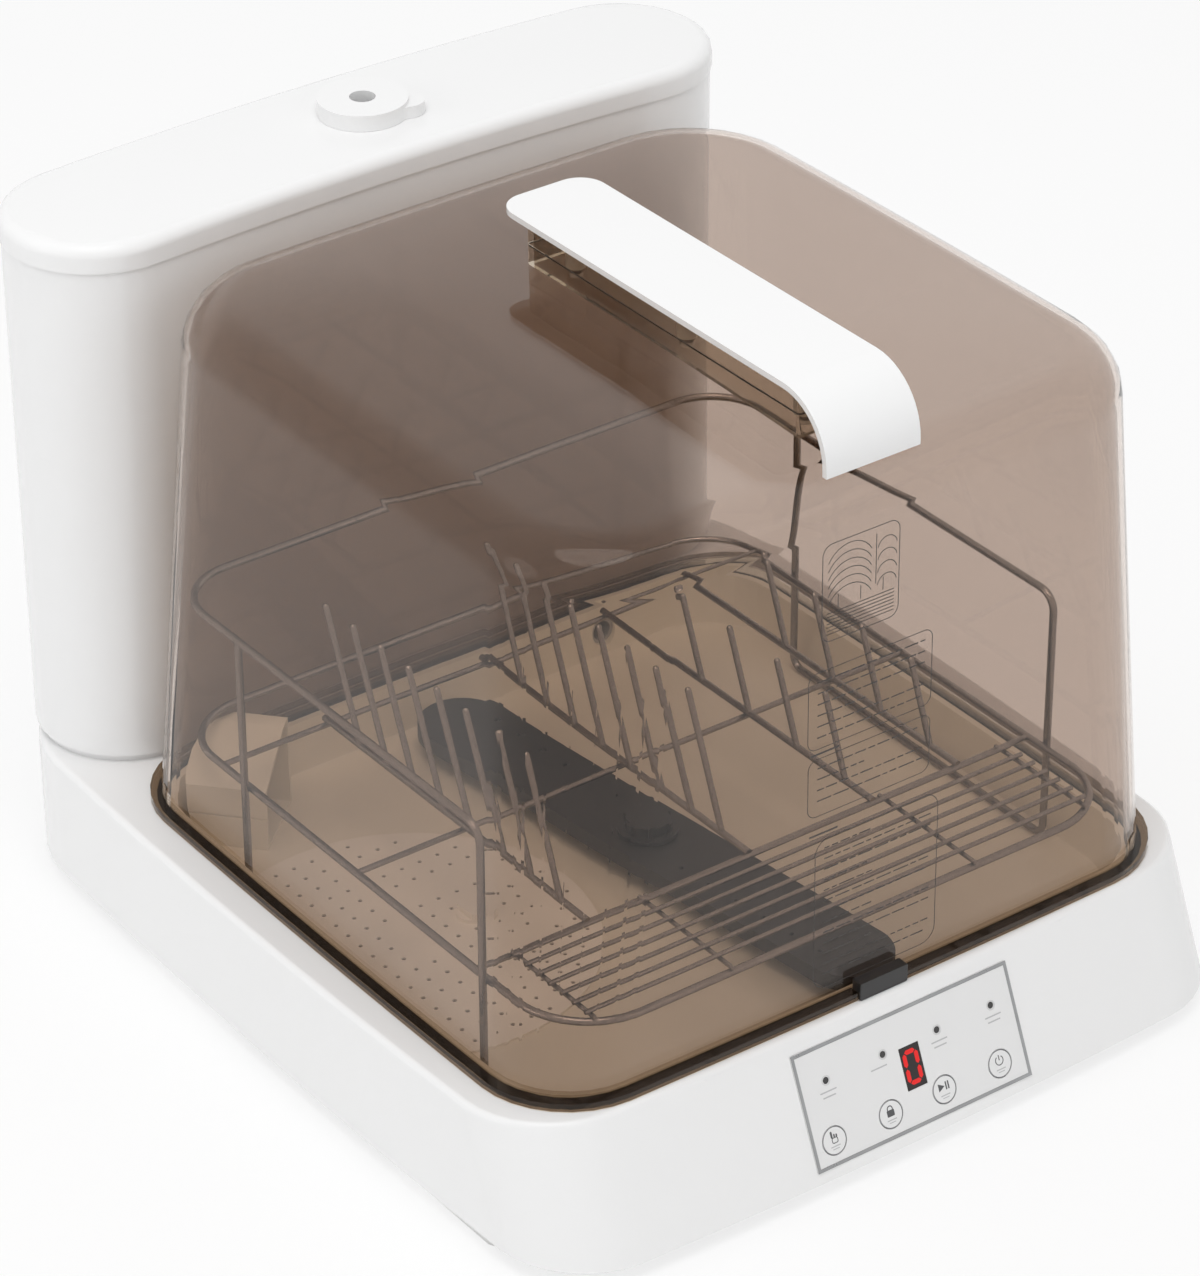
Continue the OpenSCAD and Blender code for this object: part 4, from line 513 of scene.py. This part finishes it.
def smoke_clear(name, colour, shade, roughness, foot=None):
    """Tinted clear plastic; below FOOT_TOP it may take the deeper tint that a thick edge has."""
    material = bpy.data.materials.new(name)
    material.use_nodes = True
    material.diffuse_color = (*colour, 0.5)
    n, wire = material.node_tree.nodes, material.node_tree.links.new
    shader, out = n["Principled BSDF"], n["Material Output"]
    shader.inputs["Transmission Weight"].default_value = 1
    shader.inputs["IOR"].default_value = 1.12
    shader.inputs["Coat Weight"].default_value = 0.5
    shader.inputs["Coat Roughness"].default_value = 0.02
    surface = n.new("ShaderNodeGroup")
    surface.node_tree = MOULDING
    surface.inputs["Color"].default_value = (*colour, 1)
    for socket, value in (("Spread", 0.04), ("Roughness", roughness), ("Roughness spread", 0.01),
                          ("Wave scale", 5.0), ("Grain", 0.0)):
        surface.inputs[socket].default_value = value
    if foot is not None:
        place, parts = n.new("ShaderNodeTexCoord"), n.new("ShaderNodeSeparateXYZ")
        low, tint = n.new("ShaderNodeMath"), n.new("ShaderNodeMix")
        low.operation, low.inputs[1].default_value = "LESS_THAN", FOOT_TOP
        tint.data_type = "RGBA"
        tint.inputs["A"].default_value, tint.inputs["B"].default_value = (*colour, 1), (*foot, 1)
        wire(place.outputs["Object"], parts.inputs[0])
        wire(parts.outputs["Z"], low.inputs[0])
        wire(low.outputs[0], tint.inputs["Factor"])
        wire(tint.outputs["Result"], surface.inputs["Color"])
    wire(surface.outputs["Color"], shader.inputs["Base Color"])
    wire(surface.outputs["Roughness"], shader.inputs["Roughness"])
    clear, mix, path = (n.new("ShaderNodeBsdfTransparent"), n.new("ShaderNodeMixShader"),
                        n.new("ShaderNodeLightPath"))
    clear.inputs["Color"].default_value = (*shade, 1)
    either = n.new("ShaderNodeMath")
    either.operation = "MAXIMUM"
    wire(path.outputs["Is Shadow Ray"], either.inputs[0])
    wire(path.outputs["Is Diffuse Ray"], either.inputs[1])
    wire(either.outputs[0], mix.inputs["Fac"])
    wire(shader.outputs[0], mix.inputs[1])
    wire(clear.outputs[0], mix.inputs[2])
    wire(mix.outputs[0], out.inputs["Surface"])
    return material


FOOT_TOP = 0.0762
hood_smoke = smoke_clear("hood_smoke", (0.68, 0.595, 0.54), (0.76, 0.70, 0.65), 0.02,
                         foot=(0.34, 0.275, 0.21))
riser_smoke = smoke_clear("riser_smoke", (0.56, 0.48, 0.39), (0.68, 0.61, 0.54), 0.03)
dress(hood_smoke, "hood_shell", smooth=40)
dress(riser_smoke, "handle_riser", smooth=40)

# A thin black band lies in the groove that runs round the handle's frame and darkens it to a line.
RISER_W, RISER_LEN, RISER_MID, GROOVE_Z = 0.032, 0.1945, -0.0625, 0.34405
BAND_H, BAND_OUT, BAND_IN = 0.0007, 0.0002, 0.0009
groove_black = moulded("groove_black", (0.015, 0.013, 0.012), 0.45)
plate("riser_band", [(rounded(0, RISER_MID, RISER_W - BAND_OUT, RISER_LEN - BAND_OUT, 0.0019),
                      rounded(0, RISER_MID, RISER_W - BAND_IN, RISER_LEN - BAND_IN, 0.0016))],
      groove_black, "hood", Matrix.Translation((0, 0, GROOVE_Z)), 0.0, BAND_H)

# ---- Print on the hood
# Thin dark ink on the front wall: a plain pictogram of a filled rack over three ruled frames. The
# lines follow the wall's lean and bow.
WALL_LIFT_LOW, WALL_LIFT_HIGH = 0.00002, 0.00007
INK_STEP = 0.006
print_ink = moulded("print_ink", (0.045, 0.04, 0.038), 0.5, spread=0.2, wave=80.0)
BEFORE_WALL = -0.5
wall_tree = surface_tree("hood_shell")


def on_wall(x, z, lift):
    """Point at a small height over the front wall's outer face."""
    spot, normal, _, _ = wall_tree.ray_cast(Vector((x, BEFORE_WALL, z)), Vector((0, 1, 0)))
    return spot + normal * (lift if normal.y < 0 else -lift)


def ink_line(mesh, points, width, closed=False):
    """Flat strip of ink along points (x, z) on the front wall."""
    path = []
    pairs = list(zip(points, points[1:] + points[:1] if closed else points[1:]))
    for (ax, az), (bx, bz) in pairs:
        parts = max(1, int(Vector((bx - ax, bz - az)).length / INK_STEP))
        path += [(ax + (bx - ax) * k / parts, az + (bz - az) * k / parts) for k in range(parts)]
    if not closed:
        path.append(points[-1])
    rows = []
    for k, (x, z) in enumerate(path):
        before = path[k - 1] if k or closed else path[k]
        after = path[(k + 1) % len(path)] if k + 1 < len(path) or closed else path[k]
        along = Vector((after[0] - before[0], after[1] - before[1])).normalized()
        dx, dz = -along.y * width / 2, along.x * width / 2
        rows.append([mesh.verts.new(on_wall(x + side * dx, z + side * dz, lift))
                     for side, lift in ((1, WALL_LIFT_HIGH), (-1, WALL_LIFT_HIGH),
                                        (-1, WALL_LIFT_LOW), (1, WALL_LIFT_LOW))])
    for k in range(len(rows) if closed else len(rows) - 1):
        a, b = rows[k], rows[(k + 1) % len(rows)]
        for m in range(4):
            mesh.faces.new((a[m], a[(m + 1) % 4], b[(m + 1) % 4], b[m]))
    if not closed:
        mesh.faces.new(rows[0])
        mesh.faces.new(list(reversed(rows[-1])))


SHORT_ROW, LEAST_DASH, DASH, DASH_GAP = 0.45, 0.002, (0.0025, 0.0085), 0.0013


def word_rows(mesh, left, right, top, count, pitch, width, order):
    """Rows of short dashes, uneven as words are; now and then a row is cut short."""
    for row in range(count):
        x, z = left, top - row * pitch
        end = right if (row + order.randint(0, 3)) % 4 else left + (right - left) * SHORT_ROW
        while x < end - LEAST_DASH:
            reach = min(end, x + order.uniform(*DASH))
            ink_line(mesh, [(x, z), (reach, z)], width)
            x = reach + DASH_GAP


# Each frame: middle x and z, width, height, corner radius, rows.
FRAMES = ((-0.0065, 0.2260, 0.067, 0.038, 0.0045, 6), (-0.0063, 0.1875, 0.0665, 0.029, 0.0045, 4),
          (-0.0010, 0.1210, 0.068, 0.078, 0.0075, 13))
ROW_PITCH, FRAME_LINE, ROW_LINE, TITLE_LINE = 0.0055, 0.00038, 0.00062, 0.0009
words = Random(11)
print_mesh = bmesh.new()
for x, z, width, height, radius, count in FRAMES:
    ink_line(print_mesh, rounded(x, z, width, height, radius, 6), FRAME_LINE, closed=True)
    word_rows(print_mesh, x - width / 2 + 0.005, x + width / 2 - 0.004, z + height / 2 - 0.0048,
              count, ROW_PITCH, ROW_LINE, words)
for z in (0.2045, 0.1635):
    ink_line(print_mesh, [(-0.0385, z), (-0.0230, z)], TITLE_LINE)

# The pictogram: a rack's outline, two rows of arcs for the dishes and a ruled shelf.
ink_line(print_mesh, rounded(-0.0130, 0.2820, 0.041, 0.047, 0.005, 6), FRAME_LINE, closed=True)
ink_line(print_mesh, [(-0.0050, 0.2780), (-0.0050, 0.3020)], FRAME_LINE)
for k in range(6):
    arc = circle(-0.0190, 0.2700 + 0.0040 * k, 0.0130, 12, radians(28), radians(124))
    ink_line(print_mesh, arc, FRAME_LINE)
for k in range(4):
    arc = circle(0.0010, 0.2760 + 0.0060 * k, 0.0052, 10, radians(10), radians(160))
    ink_line(print_mesh, arc, FRAME_LINE)
for k in range(7):
    z = 0.2620 + 0.0017 * k
    ink_line(print_mesh, [(-0.0310, z), (0.0050, z)], FRAME_LINE)
for x in (-0.0250, -0.0130, -0.0010):
    ink_line(print_mesh, [(x, 0.2735), (x, 0.2800)], FRAME_LINE)
bmesh.ops.recalc_face_normals(print_mesh, faces=print_mesh.faces)
placed("hood_print", print_mesh, print_ink, "hood", Matrix.Identity(4))

# ---- Handle strip and latch tab
# The handle's white strip is screwed down on the riser and bends down at the front. The black
# tab on the flange holds the magnet that the machine senses.
dress(gloss_white, "handle_strip", bevel=0.0006)
tab_black = moulded("tab_black", (0.02, 0.019, 0.019), 0.32, grain=0.2)
dress(tab_black, "latch_tab", bevel=0.0008)

# ---- Floor and light
# A wide pale floor and an even pale surround. One large soft lamp hangs above, with a weaker one
# in front and one at the left.
FLOOR_HALF, FLOOR_PLAIN, WORLD_LIT = 6.0, 0.75, 0.62
floor_mesh = bpy.data.meshes.new("floor")
floor_mesh.from_pydata([(sx * FLOOR_HALF, sy * FLOOR_HALF, 0)
                        for sx, sy in ((-1, -1), (1, -1), (1, 1), (-1, 1))], [], [(0, 1, 2, 3)])
floor = bpy.data.objects.new("floor", floor_mesh)
bpy.context.scene.collection.objects.link(floor)
floor_white = moulded("floor_white", (0.93, 0.93, 0.93), 0.9, spread=0.005)
floor_mesh.materials.append(floor_white)


def seen_mix(tree, lit, plain, factor, target):
    """Shows plain in place of lit, by factor, to the camera and in gloss and clear plastic."""
    n, wire = tree.nodes, tree.links.new
    path = n.new("ShaderNodeLightPath")
    seen = path.outputs["Is Camera Ray"]
    for name in ("Is Glossy Ray", "Is Transmission Ray"):
        either = n.new("ShaderNodeMath")
        either.operation = "MAXIMUM"
        wire(seen, either.inputs[0])
        wire(path.outputs[name], either.inputs[1])
        seen = either.outputs[0]
    share = n.new("ShaderNodeMath")
    share.operation = "MULTIPLY"
    wire(seen, share.inputs[0])
    share.inputs[1].default_value = factor
    mix = n.new("ShaderNodeMixShader")
    wire(share.outputs[0], mix.inputs["Fac"])
    wire(lit, mix.inputs[1])
    wire(plain, mix.inputs[2])
    wire(mix.outputs[0], target)


floor_nodes = floor_white.node_tree.nodes
floor_glow = floor_nodes.new("ShaderNodeEmission")
floor_glow.inputs["Color"].default_value = (1, 1, 1, 1)
floor_glow.inputs["Strength"].default_value = 1.0
seen_mix(floor_white.node_tree, floor_nodes["Principled BSDF"].outputs[0], floor_glow.outputs[0],
         FLOOR_PLAIN, floor_nodes["Material Output"].inputs["Surface"])

world = bpy.data.worlds.new("surround")
bpy.context.scene.world = world
world.use_nodes = True
sky = world.node_tree.nodes
soft = sky["Background"]
soft.inputs["Color"].default_value = (1, 1, 1, 1)
soft.inputs["Strength"].default_value = WORLD_LIT
plain_sky = sky.new("ShaderNodeBackground")
plain_sky.inputs["Color"].default_value = (1, 1, 1, 1)
plain_sky.inputs["Strength"].default_value = 1.0
seen_mix(world.node_tree, soft.outputs[0], plain_sky.outputs[0], 1.0,
         sky["World Output"].inputs["Surface"])


LAMPS_AIM = (0, 0, 0.15)


def soft_lamp(name, place, size, power):
    """Round soft lamp aimed at the machine, which polished surfaces don't mirror."""
    data = bpy.data.lights.new(name, "AREA")
    data.shape = "DISK"
    data.size = size
    data.energy = power
    lamp = bpy.data.objects.new(name, data)
    lamp.location = place
    lamp.visible_glossy = False
    lamp.rotation_mode = "QUATERNION"
    lamp.rotation_quaternion = (Vector(LAMPS_AIM) - Vector(place)).to_track_quat("-Z", "Y")
    bpy.context.scene.collection.objects.link(lamp)


soft_lamp("top_lamp", (-0.6, -0.5, 2.6), 1.8, 28)
soft_lamp("front_lamp", (0.9, -2.4, 1.5), 1.4, 4)
soft_lamp("left_lamp", (-2.5, 0.5, 1.0), 1.4, 8)
